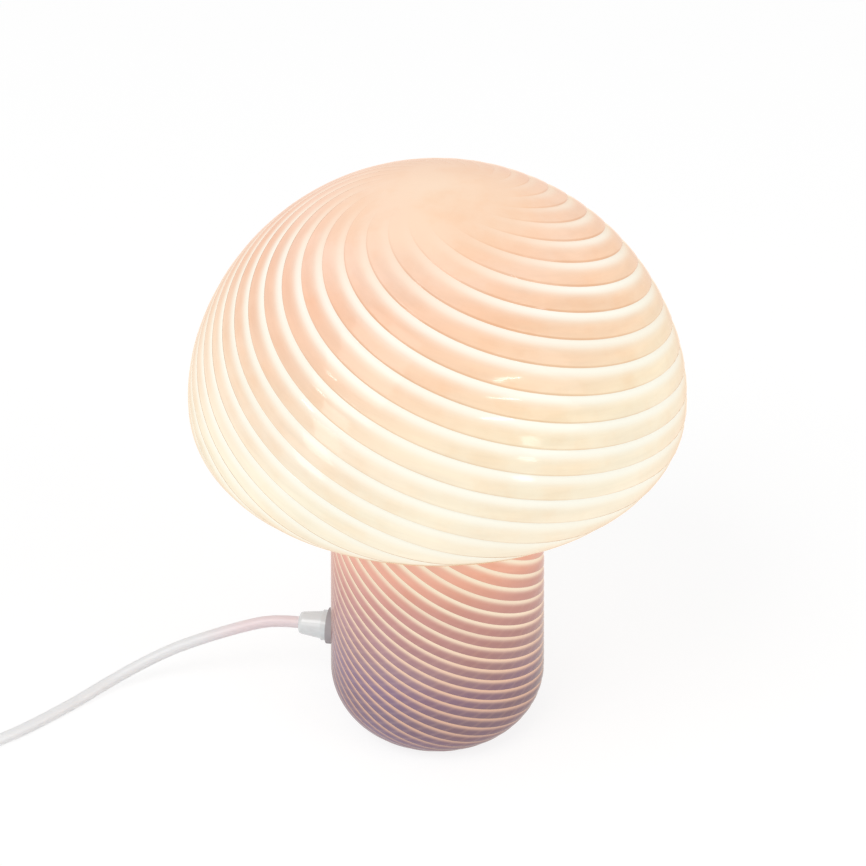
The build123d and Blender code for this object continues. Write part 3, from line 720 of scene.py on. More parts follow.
def shown(name: str, data: bpy.types.ID) -> Object:
    """Puts new data into the scene as an object at the origin.

    Args:
        name: the object's name.
        data: its mesh, curve, light or camera.

    Returns:
        The object.
    """
    made = bpy.data.objects.new(name, data)
    bpy.context.scene.collection.objects.link(made)
    return made


def dress(node: str, finish: Finish) -> None:
    """Gives a carried-over CAD node its finish.

    Args:
        node: the node's name.
        finish: the finish for all its slots.
    """
    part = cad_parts[node]
    material = finish.material()
    if not part.material_slots:
        part.data.materials.append(material)
    for slot in part.material_slots:
        slot.link = "OBJECT"
        slot.material = material
    log.info("%s dressed in %s", node, finish.name)


# ---------------------------------------------------------------- camera, floor and light


@dataclass
class PhotoCamera:
    """The photograph's camera: high in front and a little to the right; angles in degrees."""

    elevation: float = 35.0
    turn: float = 9.3
    distance: float = 0.85
    target_height: float = 0.14366
    lens: float = 86.48
    shift: float = -0.0052
    nearest: float = 0.02

    def place(self) -> None:
        """Makes the camera and gives it to the scene."""
        eye = bpy.data.cameras.new("photo_camera")
        eye.lens, eye.shift_x, eye.clip_start = self.lens, self.shift, self.nearest
        camera = shown("photo_camera", eye)
        up, turn = math.radians(self.elevation), math.radians(self.turn)
        away = Vector((math.cos(up) * math.sin(turn), -math.cos(up) * math.cos(turn), math.sin(up)))
        camera.location = Vector((0, 0, self.target_height)) + away * self.distance
        camera.rotation_euler = (-away).to_track_quat("-Z", "Y").to_euler()
        bpy.context.scene.camera = camera


@dataclass(frozen=True)
class SoftPanel:
    """A soft panel that faces the lamp.

    Turn is in degrees round the lamp from -Y towards +X, rise in degrees above the shade, away and
    size in metres, power in watts. A window lights by its reflection only.
    """

    name: str
    turn: float
    rise: float
    away: float
    size: tuple[float, float]
    power: float
    window: bool = True

    def hang(self, height: float) -> None:
        """Hangs the panel so that it faces the lamp's axis at a height in metres."""
        light = bpy.data.lights.new(self.name, "AREA")
        light.shape, light.size, light.size_y, light.energy = "RECTANGLE", *self.size, self.power
        panel = shown(self.name, light)
        across, up = math.radians(self.turn), math.radians(self.rise)
        way = Vector((math.sin(across) * math.cos(up), -math.cos(across) * math.cos(up), math.sin(up)))
        panel.location = Vector((0, 0, height)) + way * self.away
        panel.rotation_euler = way.to_track_quat("Z", "Y").to_euler()
        panel.visible_diffuse = not self.window


@dataclass
class Studio:
    """White floor, white surround, two soft panels, and four that show as glints on the glass."""

    floor_size: float = 9.0
    floor_greys: tuple = (0.93, 0.90)
    floor_blotches: float = 9.0
    floor_glow: float = 1.09
    floor_lift: float = 0.74
    surround: float = 0.55
    panel_aim: float = 0.19
    panels: tuple = (
        SoftPanel("key_panel", -35.0, 52.0, 2.45, (1.3, 1.3), 22.0, window=False),
        SoftPanel("fill_panel", 70.0, 32.0, 2.1, (1.0, 1.0), 8.0, window=False),
        SoftPanel("left_window", -39.0, 18.0, 2.2, (0.55, 0.8), 9.0),
        SoftPanel("right_window", 51.0, 14.0, 2.2, (0.3, 0.3), 3.15),
        SoftPanel("lamp_tube", 50.0, 41.0, 2.2, (0.62, 0.04), 4.0),
        SoftPanel("far_tube", -50.0, 35.0, 2.2, (0.25, 0.05), 1.6),
    )

    @staticmethod
    def looked_at(sheet: NodeSheet) -> Socket:
        """Tells rays that show a surface, also in a mirror or through glass, from rays that light."""
        path = sheet.add("ShaderNodeLightPath").outputs
        seen = sheet.math("MAXIMUM", path["Is Camera Ray"], path["Is Glossy Ray"])
        return sheet.math("MAXIMUM", seen, path["Is Transmission Ray"])

    def floor(self) -> None:
        """Lays the floor, which shows white and keeps the lamp's shadow."""
        half = self.floor_size / 2
        mesh = bpy.data.meshes.new("floor")
        corners = [(-half, -half, 0), (half, -half, 0), (half, half, 0), (-half, half, 0)]
        mesh.from_pydata(corners, [], [(0, 1, 2, 3)])
        ground = shown("floor", mesh)
        paint, sheet, place = new_material("floor_white")
        light, dark = ((grey, grey, grey, 1.0) for grey in self.floor_greys)
        shade = sheet.mix(sheet.noise(place, self.floor_blotches), light, dark)
        lit = sheet.out("ShaderNodeBsdfDiffuse", {"Color": shade})
        plain = sheet.out("ShaderNodeEmission", {"Color": WHITE, "Strength": self.floor_glow})
        share = sheet.times(self.looked_at(sheet), self.floor_lift)
        both = sheet.out("ShaderNodeMixShader", {0: share, 1: lit, 2: plain})
        sheet.add("ShaderNodeOutputMaterial", {"Surface": both})
        mesh.materials.append(paint)

    def sky(self) -> None:
        """Surrounds the scene with white that lights more softly than it shows."""
        world = bpy.data.worlds.new("studio_white")
        world.use_nodes = True
        sheet = NodeSheet(world.node_tree)
        soft, bright = (
            sheet.out("ShaderNodeBackground", {"Color": WHITE, "Strength": strength})
            for strength in (self.surround, 1.0)
        )
        both = sheet.out("ShaderNodeMixShader", {0: self.looked_at(sheet), 1: soft, 2: bright})
        sheet.add("ShaderNodeOutputWorld", {"Surface": both})
        bpy.context.scene.world = world

    def build(self) -> None:
        """Sets up floor, surround and panels."""
        bpy.context.scene.view_settings.view_transform = "Standard"
        self.floor()
        self.sky()
        for panel in self.panels:
            panel.hang(self.panel_aim)
        log.info("studio set")


# ---------------------------------------------------------------- cords


@dataclass
class MainsCord:
    """The lead from the gland through the switch into its coil and plug, in millimetres."""

    diameter: float = 5.2
    length: float = 1457.0
    rest: float = 2.6
    gland_tip: tuple = (-61.84, 0.0, 34.4)
    to_switch: tuple = (
        (-73.34, 0.0, 34.4), (-88.4, -1.7, 29.6), (-106.2, -4.1, 22.4), (-120.9, -7.2, 16.0),
        (-134.3, -12.3, 9.4), (-146.8, -20.6, 4.4), (-156.4, -31.5, 2.6), (-166.6, -44.4, 2.6),
        (-178.2, -57.6, 2.6), (-193.5, -70.5, 2.6), (-212.5, -78.5, 2.6), (-232.5, -77.0, 4.3),
        (-255.06, -65.64, 7.5), (-265.785, -56.641, 7.5),
    )
    to_coil: tuple = (
        (-310.215, -19.359, 7.5), (-319.408, -11.646, 7.5), (-329.5, 0.5, 4.6), (-335.6, 14.5, 2.6),
        (-338.0, 31.5, 2.6), (-338.0, 48.8, 2.6),
    )
    coil_start: tuple = (-338.0, 55.0)
    coil_radius: float = 31.0
    half_turns_a_layer: int = 5
    turn_pitch: float = 6.8
    layer_pitch: float = 5.7
    points_a_half_turn: int = 8
    coil_run_out: float = 6.2
    to_plug: tuple = ((-259.0, 42.3, 8.3), (-257.888, 35.253, 6.85), (-257.0, 26.8, 6.85))
    finish: Finish = CORD_SHEATH

    def coil(self) -> list[tuple[float, float, float]]:
        """Points of the coil: half turns inwards on the table, then outwards a layer up.

        Returns:
            Control points in millimetres, just outside the turns' own line.
        """
        step = self.turn_pitch / 2
        reach = self.coil_radius + step * self.half_turns_a_layer / 2
        reaches = [reach - step * count for count in range(self.half_turns_a_layer + 1)]
        reaches += [reaches[-1] + step * count for count in range(self.half_turns_a_layer + 1)]
        middle, side = self.coil_start[0] + reach, self.coil_start[1]
        high = self.rest + self.layer_pitch
        levels = [self.rest if count <= self.half_turns_a_layer else high for count in range(len(reaches))]
        ends = [middle + (distance if count % 2 else -distance) for count, distance in enumerate(reaches)]
        points = []
        slice_angle = math.pi / self.points_a_half_turn
        for count, (first, last) in enumerate(zip(ends, ends[1:])):
            centre, radius = (first + last) / 2, abs(last - first) / 2 / math.cos(slice_angle / 2)
            start = 0.0 if count % 2 else math.pi
            for number in range(self.points_a_half_turn):
                share = (number + 0.5) / self.points_a_half_turn
                angle = start - math.pi * share
                rise = levels[count] + (levels[count + 1] - levels[count]) * share
                points.append((centre + radius * math.cos(angle), side + radius * math.sin(angle), rise))
        points.append((ends[-1], side - self.coil_run_out, high))
        return points

    def build(self) -> None:
        points = [self.gland_tip, *self.to_switch, *self.to_coil, *self.coil(), *self.to_plug]
        cord = drawn_cord("mains_cord", points, self.diameter, self.finish)
        line = line_of(cord)
        into, out_of = Vector(self.to_switch[-1]) * MM, Vector(self.to_coil[0]) * MM
        sleeves = [
            BendSleeve().build("switch_inlet_sleeve", line[::-1], into),
            BendSleeve().build("switch_outlet_sleeve", line, out_of),
        ]
        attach(cord, Body.LAMP.value)
        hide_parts("cord_run", "cord_tail", "cord_coil", "plug_lead")
        tuple(value * MM for value in self.gland_tip)
        [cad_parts[name] for name in (*InlineSwitch.nodes, *MainsPlug.nodes)] + sleeves
        log.info("mains cord drawn through %d points", len(points))


@dataclass
class InnerLead:
    """The short lead from the gland up into the lamp holder, in millimetres."""

    diameter: float = 5.2
    length: float = 106.0
    outlet_height: float = 34.4
    give: tuple = (-27.6, -22.8)
    steps: int = 40
    points: tuple = ((-61.84, 0.0, 34.4), (-22.0, 0.0, 34.4), (0.0, 0.0, 56.4), (0.0, 0.0, 96.5))
    finish: Finish = CORD_SHEATH

    def build(self) -> None:
        """Draws the lead along its points."""
        route = drawn_cord("inner_lead_route", list(self.points), self.diameter, self.finish)
        route.data.resolution_u = self.steps
        graph = bpy.context.evaluated_depsgraph_get()
        tube = bpy.data.meshes.new_from_object(route.evaluated_get(graph), depsgraph=graph)
        path = [tuple(spot) for spot in line_of(route)]
        bpy.data.objects.remove(route)
        lead = shown("inner_lead_sheath", tube)
        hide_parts("inner_lead")
        near, far = ((reach * MM, 0.0, self.outlet_height * MM) for reach in self.give)
        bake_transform(lead)
        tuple(near)
        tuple(far)
        tuple(value * MM for value in self.points[0])
        log.info("inner lead drawn along %d points", len(path))


def line_of(cord: Object) -> list[Vector]:
    """Reads the points along a cord's own spline.

    Args:
        cord: the curve object.

    Returns:
        Points from the spline's first end to its last, in metres.
    """
    thickness, cord.data.bevel_depth = cord.data.bevel_depth, 0.0
    graph = bpy.context.evaluated_depsgraph_get()
    graph.update()
    line = bpy.data.meshes.new_from_object(cord.evaluated_get(graph), depsgraph=graph)
    spots = [vertex.co.copy() for vertex in line.vertices]
    bpy.data.meshes.remove(line)
    cord.data.bevel_depth = thickness
    graph.update()
    return spots


@dataclass
class BendSleeve:
    """A grooved sleeve that tapers onto the cord where it leaves the switch, in millimetres."""

    length: float = 21.0
    wide: float = 4.4
    narrow: float = 3.05
    grooves: int = 5
    groove_depth: float = 0.5
    points: int = 64
    shortest_step: float = 0.4
    finish: Finish = SHELL_WHITE

    @staticmethod
    @cache
    def tree() -> Tree:
        """Builds the tree that sweeps the sleeve along a piece of the cord's line.

        Returns:
            The geometry node tree.
        """
        sockets = {"Geometry": "Geometry", "Wide": "Float", "Narrow": "Float", "Grooves": "Float"}
        sockets |= {"Groove depth": "Float", "Points": "Int", "Material": "Material"}
        tree, sheet, given = new_tree("Geometry", "taper_sleeve", sockets, SHAPE_OUT)
        line = sheet.out("GeometryNodeMeshToCurve", {0: given["Geometry"]})
        fine = sheet.out("GeometryNodeResampleCurve", {"Curve": line, "Count": given["Points"]})
        share = sheet.add("GeometryNodeSplineParameter").outputs["Factor"]
        lost = sheet.less(given["Wide"], given["Narrow"])
        taper = sheet.less(given["Wide"], sheet.times(share, lost))
        turns = sheet.times(sheet.times(share, given["Grooves"]), FULL_TURN)
        wave = sheet.scaled(sheet.math("COSINE", turns), -0.5, 0.5)
        groove = sheet.times(sheet.math("POWER", wave, 3.0), given["Groove depth"])
        floor = sheet.times(given["Narrow"], 0.96)
        radius = sheet.math("MAXIMUM", sheet.less(taper, groove), floor)
        finish_tree(sheet, swept_round(sheet, fine, radius, 24), given["Material"])
        return tree

    def build(self, name: str, line: list[Vector], start: Vector) -> Object:
        """Sweeps one sleeve.

        Args:
            name: the piece's name.
            line: the cord's points, in the direction that the sleeve tapers.
            start: where the cord leaves the switch.

        Returns:
            The sleeve's object.
        """
        nearest = min(range(len(line)), key=lambda number: (line[number] - start).length)
        passed = (line[nearest + 1] - line[nearest]).dot(start - line[nearest]) > 0
        spots, walked = [start], 0.0
        for spot in line[nearest + 1 if passed else nearest :]:
            step = (spot - spots[-1]).length
            if walked + step >= self.length * MM:
                spots.append(spots[-1].lerp(spot, (self.length * MM - walked) / step))
                break
            if step > self.shortest_step * MM:
                spots.append(spot)
                walked += step
        mesh = bpy.data.meshes.new(name)
        mesh.from_pydata(spots, [(at, at + 1) for at in range(len(spots) - 1)], [])
        sleeve = shown(name, mesh)
        sizes = {"Wide": self.wide * MM, "Narrow": self.narrow * MM, "Grooves": float(self.grooves)}
        sizes |= {"Groove depth": self.groove_depth * MM, "Points": self.points}
        sizes |= {"Material": self.finish.material()}
        grown_mesh(sleeve, self.tree(), sizes)
        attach(sleeve, Body.LAMP.value)
        log.info("%s swept over %d points", name, len(spots))
        return sleeve


def drawn_cord(name: str, points: list, diameter: float, finish: Finish) -> Object:
    """Makes a smooth round cord on one open spline.

    Args:
        name: the object's name.
        points: the spline's control points in millimetres.
        diameter: millimetres.
        finish: the sheath's finish.

    Returns:
        The curve object.
    """
    curve = bpy.data.curves.new(name, "CURVE")
    curve.dimensions = "3D"
    curve.bevel_depth = diameter / 2 * MM
    curve.bevel_resolution, curve.resolution_u = CORD_ROUNDNESS, CORD_STEPS
    curve.use_fill_caps = True
    spline = curve.splines.new("NURBS")
    spline.points.add(len(points) - 1)
    for spot, place in zip(spline.points, points):
        spot.co = (*(value * MM for value in place), 1.0)
    spline.order_u = 3
    spline.use_endpoint_u = True
    spline.use_smooth = True
    curve.materials.append(finish.material())
    return shown(name, curve)


# ---------------------------------------------------------------- the glass


@dataclass(frozen=True)
class OutlineSpot:
    """A spot on the glass's outline: its place, the way out of the glass and the run from the top."""

    reach: float
    height: float
    out_reach: float
    out_height: float
    run: float


@dataclass
class SwirlGlass:
    """Shade and stem of blown glass with ribs that wind down from the top, in millimetres.

    Crown, neck and foot arcs are a centre, a radius and, where given, directions in degrees. Stations
    are runs from the top, at which the lines a millimetre and the two leans of the swirl are given.
    """

    wall: float = 3.0
    crown: tuple = ((0.0, 155.15), 101.35, 90.0, 18.33)
    shoulder_radius: float = 74.8
    equator: tuple = (100.0, 163.5)
    lip_radius: float = 19.8
    lip_turn: float = 72.9
    neck: tuple = ((58.315, 121.40), 14.0)
    stem_lean: float = 1.6
    foot_upper: tuple = ((23.11, 20.856), 24.0, 40.0)
    foot_lower: tuple = ((33.068, 12.5), 11.0)
    mouth_radius: float = 27.0
    bottom: float = 1.5
    lines: int = 24
    columns_a_line: tuple = (0.0, 0.035, 0.08, 0.16, 0.26, 0.38, 0.52, 0.66, 0.8, 0.9, 0.965)
    crease_depth: float = 0.7
    crease_sharpness: float = 1.7
    relief_runs: tuple = (22.0, 60.0)
    winding_rounds: int = 16
    rise_share: float = 0.58
    stations: tuple = (25.0, 110.0, 175.9, 227.4, 346.0)
    lines_per_mm: tuple = (0.0777, 0.1106, 0.1256, 0.1125, 0.212)
    lean_front: tuple = (-0.205, -1.241, -2.085, -0.474, -0.623)
    lean_side: tuple = (1.035, 0.266, -0.268, -0.89, -0.119)
    first_line: float = 3.227
    crease_place: float = 0.84
    wide_steps: tuple = (1.9, 1.6)
    neck_step: float = 1.3
    tight_step: float = 1.2
    straight_step: float = 1.6
    smallest_gap: float = 0.05
    under_run: float = 6.0
    inner_coarseness: float = 3.2
    finish: PaintedGlowSwirlFinish = PaintedGlowSwirlFinish()

    def arcs(self) -> list[tuple]:
        """Arcs of the outline: centre, radius, first and last direction, bulge and step."""
        shoulder = (self.equator[0] - self.shoulder_radius, self.equator[1])
        lip = (self.equator[0] - self.lip_radius, self.equator[1])
        crown_centre, crown_radius, crown_start, crown_end = self.crown
        under = 180.0 - self.lip_turn
        return [
            (crown_centre, crown_radius, crown_start, crown_end, 1, self.wide_steps[0]),
            (shoulder, self.shoulder_radius, crown_end, 0.0, 1, self.wide_steps[1]),
            (lip, self.lip_radius, 0.0, -self.lip_turn, 1, self.tight_step),
            (*self.neck, under, 180.0 + self.stem_lean, -1, self.neck_step),
            (*self.foot_upper[:2], self.stem_lean, -self.foot_upper[2], 1, self.tight_step),
            (*self.foot_lower, -self.foot_upper[2], -90.0, 1, self.tight_step),
        ]

    def outline(self, inset: float, coarseness: float) -> list[OutlineSpot]:
        """Walks the outline from the top of the cap to the mouth.

        Args:
            inset: how far inside the outer skin.
            coarseness: factor on the steps.

        Returns:
            Spots along the outline; their runs are those of the outer skin.
        """
        spots: list[OutlineSpot] = []
        run = 0.0
        for centre, radius, start, end, bulge, step in self.arcs():
            moved = radius - bulge * inset
            first = math.radians(start)
            corner = centre[0] + moved * math.cos(first), centre[1] + moved * math.sin(first)
            out = bulge * math.cos(first), bulge * math.sin(first)
            if spots:
                last = spots[-1]
                gap = math.dist((last.reach, last.height), corner)
                straight = max(1, math.ceil(gap / (self.straight_step * coarseness)))
                pieces = straight if gap > self.smallest_gap else 0
                for number in range(1, pieces + 1):
                    share = number / pieces
                    reach = last.reach + (corner[0] - last.reach) * share
                    height = last.height + (corner[1] - last.height) * share
                    spots.append(OutlineSpot(reach, height, *out, run + gap * share))
                run += gap
            else:
                spots.append(OutlineSpot(*corner, *out, run))
            turn = math.radians(abs(end - start))
            pieces = max(2, math.ceil(radius * turn / (step * coarseness)))
            for number in range(1, pieces + 1):
                angle = math.radians(start + (end - start) * number / pieces)
                across, up = math.cos(angle), math.sin(angle)
                place = centre[0] + moved * across, centre[1] + moved * up
                walked = run + radius * turn * number / pieces
                spots.append(OutlineSpot(*place, bulge * across, bulge * up, walked))
            run += radius * turn
        last = spots[-1]
        for share in (0.5, 1.0):
            reach = last.reach + (self.mouth_radius - last.reach) * share
            spots.append(OutlineSpot(reach, self.bottom + inset, 0.0, -1.0, run + self.under_run * share))
        return spots

    def along(self, values: tuple, run: float) -> float:
        """Reads a value between the stations, held at the ends."""
        if run <= self.stations[0]:
            return values[0]
        for low, high, first, last in zip(self.stations, self.stations[1:], values, values[1:]):
            if run <= high:
                return first + (last - first) * (run - low) / (high - low)
        return values[-1]

    def lines_passed(self, run: float) -> float:
        """Counts the lines that a straight walk down from the top has crossed at a run."""
        total = self.first_line + self.lines_per_mm[0] * (min(run, self.stations[0]) - self.stations[0])
        for low, high in zip(self.stations, self.stations[1:]):
            if run > low:
                end = min(run, high)
                mean = (self.along(self.lines_per_mm, low) + self.along(self.lines_per_mm, end)) / 2
                total += mean * (end - low)
        return total + self.lines_per_mm[-1] * max(0.0, run - self.stations[-1])

    def lathe_grid(self) -> bpy.types.Mesh:
        """Lays out the unwound grid: rows down the outline, columns along the lines.

        Returns:
            A mesh whose points carry the attributes that the winding tree reads.
        """
        outer = [(spot, 1.0) for spot in self.outline(0.0, 1.0)[1:]]
        inner = [(spot, 0.0) for spot in reversed(self.outline(self.wall, self.inner_coarseness)[1:])]
        rows = outer + inner
        columns = [line + share for line in range(self.lines) for share in self.columns_a_line]
        shares = list(self.columns_a_line) * self.lines
        wide = len(columns)
        top, under = len(rows) * wide, len(rows) * wide + 1
        faces, uvs, ribs = [], [], []
        for at in range(wide):
            turn = (at + 1) % wide
            left, right = shares[at], shares[turn] or 1.0
            edge_runs = rows[0][0].run, rows[-1][0].run
            faces.append((top, turn, at))
            uvs += [(left, 0.0), (right, edge_runs[0]), (left, edge_runs[0])]
            base = (len(rows) - 1) * wide
            faces.append((under, base + at, base + turn))
            uvs += [(left, 0.0), (left, edge_runs[1]), (right, edge_runs[1])]
            ribs += [at // len(self.columns_a_line)] * 2
            for row in range(len(rows) - 1):
                high, low = row * wide, (row + 1) * wide
                faces.append((high + at, high + turn, low + turn, low + at))
                upper, lower = rows[row][0].run, rows[row + 1][0].run
                uvs += [(left, upper), (right, upper), (right, lower), (left, lower)]
                ribs.append(at // len(self.columns_a_line))
        mesh = bpy.data.meshes.new("lathe_grid")
        height_top = self.crown[0][1] + self.crown[1]
        pole_heights = (height_top, height_top - self.wall)
        ends = [(0.0, 0.0, height * MM) for height in pole_heights]
        mesh.from_pydata([(0.0, 0.0, 0.0)] * (len(rows) * wide) + ends, [], faces)
        poles = [OutlineSpot(0.0, height, 0.0, 1.0, 0.0) for height in pole_heights]
        flat = [(spot, skin, line, share) for spot, skin in rows for line, share in zip(columns, shares)]
        flat += [(pole, 0.0, 0.0, 0.0) for pole in poles]
        wound = {}
        for spot, _ in rows + [(pole, 0.0) for pole in poles]:
            run = spot.run
            wound[run] = (
                self.lines_passed(run) - self.crease_place,
                self.along(self.lean_front, run),
                self.along(self.lean_side, run),
            )
        spots = [spot for spot, *_ in flat]
        turns = [wound[spot.run] for spot in spots]
        written = {
            "reach": [spot.reach * MM for spot in spots],
            "height": [spot.height * MM for spot in spots],
            "out_reach": [spot.out_reach for spot in spots],
            "out_height": [spot.out_height for spot in spots],
            "run": [spot.run for spot in spots],
            "skin": [skin for _, skin, *_ in flat],
            "line": [line for *_, line, _ in flat],
            "across": [share for *_, share in flat],
        }
        written |= dict(zip(("passed", "lean_front", "lean_side"), zip(*turns)))
        for name, values in written.items():
            mesh.attributes.new(name, "FLOAT", "POINT").data.foreach_set("value", values)
        mesh.attributes.new("rib", "FLOAT", "FACE").data.foreach_set("value", [float(rib) for rib in ribs])
        layer = mesh.uv_layers.new(name="swirl")
        length = self.finish.run_length
        layer.data.foreach_set("uv", [value for u, v in uvs for value in (u, v / length)])
        return mesh

    def winding_tree(self) -> Tree:
        """Builds the tree that winds the grid's columns round the axis and presses the creases in.

        Returns:
            The geometry node tree.
        """
        sockets = {"Geometry": "Geometry", "Lines": "Float", "Crease depth": "Float", "Rise share": "Float"}
        sockets |= {"Sharpness": "Float", "Relief from": "Float", "Relief full": "Float"}
        sockets |= {"Rounds": "Int", "Glass": "Material"}
        tree, sheet, given = new_tree("Geometry", "wind_swirl_ribs", sockets, SHAPE_OUT)

        def read(name: str) -> Socket:
            """Reads a point attribute by name."""
            node = sheet.add("GeometryNodeInputNamedAttribute", {"Name": name}, data_type="FLOAT")
            return node.outputs["Attribute"]

        angle_a_line = sheet.math("DIVIDE", FULL_TURN, given["Lines"])
        offset = sheet.less(read("passed"), read("line"))
        opening = sheet.add("GeometryNodeRepeatInput")
        closing = sheet.add("GeometryNodeRepeatOutput")
        opening.pair_with_output(closing)
        closing.repeat_items.clear()
        closing.repeat_items.new("FLOAT", "Turn")
        sheet.feed(opening.inputs["Iterations"], given["Rounds"])
        turn = opening.outputs["Turn"]
        front = sheet.times(read("lean_front"), sheet.math("COSINE", turn))
        lean = sheet.scaled(read("lean_side"), sheet.math("SINE", turn), front)
        sheet.feed(closing.inputs["Turn"], sheet.times(sheet.plus(offset, lean), angle_a_line))
        turn = closing.outputs["Turn"]

        risen = sheet.math("DIVIDE", read("across"), given["Rise share"])
        left = sheet.less(1.0, risen, clamp=True)
        fade = sheet.ease(read("run"), given["Relief from"], given["Relief full"])
        press = sheet.times(sheet.math("POWER", left, given["Sharpness"]), given["Crease depth"])
        press = sheet.times(press, sheet.times(fade, read("skin")))
        reach = sheet.less(read("reach"), sheet.times(press, read("out_reach")))
        height = sheet.less(read("height"), sheet.times(press, read("out_height")))
        side = sheet.times(reach, sheet.math("SINE", turn))
        forth = sheet.times(sheet.times(reach, sheet.math("COSINE", turn)), -1.0)
        place = sheet.joined(side, forth, height)
        wound = sheet.add("GeometryNodeSetPosition", {"Geometry": given["Geometry"], "Position": place})
        finish_tree(sheet, wound.outputs[0], given["Glass"])
        return tree

    def build(self) -> None:
        """Winds the ribbed glass and puts it in place of the plain one."""
        glass = shown("swirl_glass", self.lathe_grid())
        sizes = {"Lines": float(self.lines), "Crease depth": self.crease_depth * MM}
        sizes |= {"Rise share": self.rise_share, "Sharpness": self.crease_sharpness}
        sizes |= dict(zip(("Relief from", "Relief full"), self.relief_runs))
        sizes |= {"Rounds": self.winding_rounds, "Glass": self.finish.material()}
        grown_mesh(glass, self.winding_tree(), sizes)
        for name in ("reach", "height", "out_reach", "out_height", "skin", "line", "across", "passed"):
            glass.data.attributes.remove(glass.data.attributes[name])
        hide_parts("glass_body")
        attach(glass, Body.LAMP.value)
        log.info("swirl glass wound, %d faces", len(glass.data.polygons))


# ---------------------------------------------------------------- fittings


def turned_mesh(name: str, outline: list[tuple[float, float]], columns: int, closed: bool) -> bpy.types.Mesh:
    """Turns an outline of (radius, height) round the lamp's axis into a shell without gaps.

    Args:
        name: the mesh's name.
        outline: corners in millimetres, upwards along the outside; a closed one comes back inside.
        columns: faces round the axis.
        closed: whether the last corner joins the first, as in a tube, or both ends lie on the axis.

    Returns:
        The mesh.
    """
    rings = outline if closed else outline[1:-1]
    points = []
    for radius, height in rings:
        for column in range(columns):
            turn = FULL_TURN * column / columns
            points.append((radius * math.cos(turn) * MM, radius * math.sin(turn) * MM, height * MM))
    pairs = [(at, at + 1) for at in range(len(rings) - 1)] + ([(len(rings) - 1, 0)] if closed else [])
    faces = []
    for low, high in pairs:
        for column in range(columns):
            beside = (column + 1) % columns
            below, above = low * columns, high * columns
            faces.append((below + column, below + beside, above + beside, above + column))
    if not closed:
        last = (len(rings) - 1) * columns
        foot, tip = len(points), len(points) + 1
        points += [(0.0, 0.0, outline[0][1] * MM), (0.0, 0.0, outline[-1][1] * MM)]
        for column in range(columns):
            beside = (column + 1) % columns
            faces += [(foot, beside, column), (tip, last + column, last + beside)]
    mesh = bpy.data.meshes.new(name)
    mesh.from_pydata(points, [], faces)
    return mesh


@dataclass
class RolledThread:
    """The small screw thread that is rolled into a thin metal shell, in millimetres."""

    pitch: float = 2.82
    columns: int = 48
    rows_a_turn: int = 14

    @staticmethod
    @cache
    def tree() -> Tree:
        """Builds the tree that presses the thread into a turned shell.

        Returns:
            The geometry node tree.
        """
        sockets = {"Geometry": "Geometry", "Pitch": "Float", "Swell": "Float"}
        sockets |= {"Low": "Float", "High": "Float", "Material": "Material"}
        tree, sheet, given = new_tree("Geometry", "roll_thread", sockets, SHAPE_OUT)
        x, y, z = sheet.split(sheet.out("GeometryNodeInputPosition"))
        turns = sheet.math("DIVIDE", sheet.math("ARCTAN2", y, x), FULL_TURN)
        phase = sheet.less(sheet.math("DIVIDE", z, given["Pitch"]), turns)
        wave = sheet.scaled(sheet.math("COSINE", sheet.times(phase, FULL_TURN)), 0.5, 0.5)
        run_out = sheet.times(given["Pitch"], 0.5)
        rising = sheet.ease(z, given["Low"], sheet.plus(given["Low"], run_out))
        falling = sheet.ease(z, given["High"], sheet.less(given["High"], run_out))
        swell = sheet.times(sheet.times(wave, given["Swell"]), sheet.times(rising, falling))
        way = sheet.out("ShaderNodeVectorMath", {0: sheet.joined(x, y)}, operation="NORMALIZE")
        push = sheet.out("ShaderNodeVectorMath", {0: way, "Scale": swell}, operation="SCALE")
        pressed = sheet.add("GeometryNodeSetPosition", {"Geometry": given["Geometry"], "Offset": push})
        finish_tree(sheet, pressed.outputs[0], given["Material"])
        return tree

    def heights(self, low: float, high: float) -> list[float]:
        """Heights of the rows between two ends, close enough for the thread's waves."""
        count = math.ceil((high - low) / self.pitch * self.rows_a_turn)
        return [low + (high - low) * number / count for number in range(count + 1)]

    def press(self, part: Object, low: float, high: float, swell: float, finish: Finish) -> None:
        """Presses the thread into a turned shell.

        Args:
            part: the shell's object.
            low: where the thread starts.
            high: where it ends.
            swell: how far its other extreme stands out, inwards when negative.
            finish: the metal's finish.
        """
        sizes = {"Pitch": self.pitch * MM, "Swell": swell * MM, "Low": low * MM, "High": high * MM}
        grown_mesh(part, self.tree(), sizes | {"Material": finish.material()})


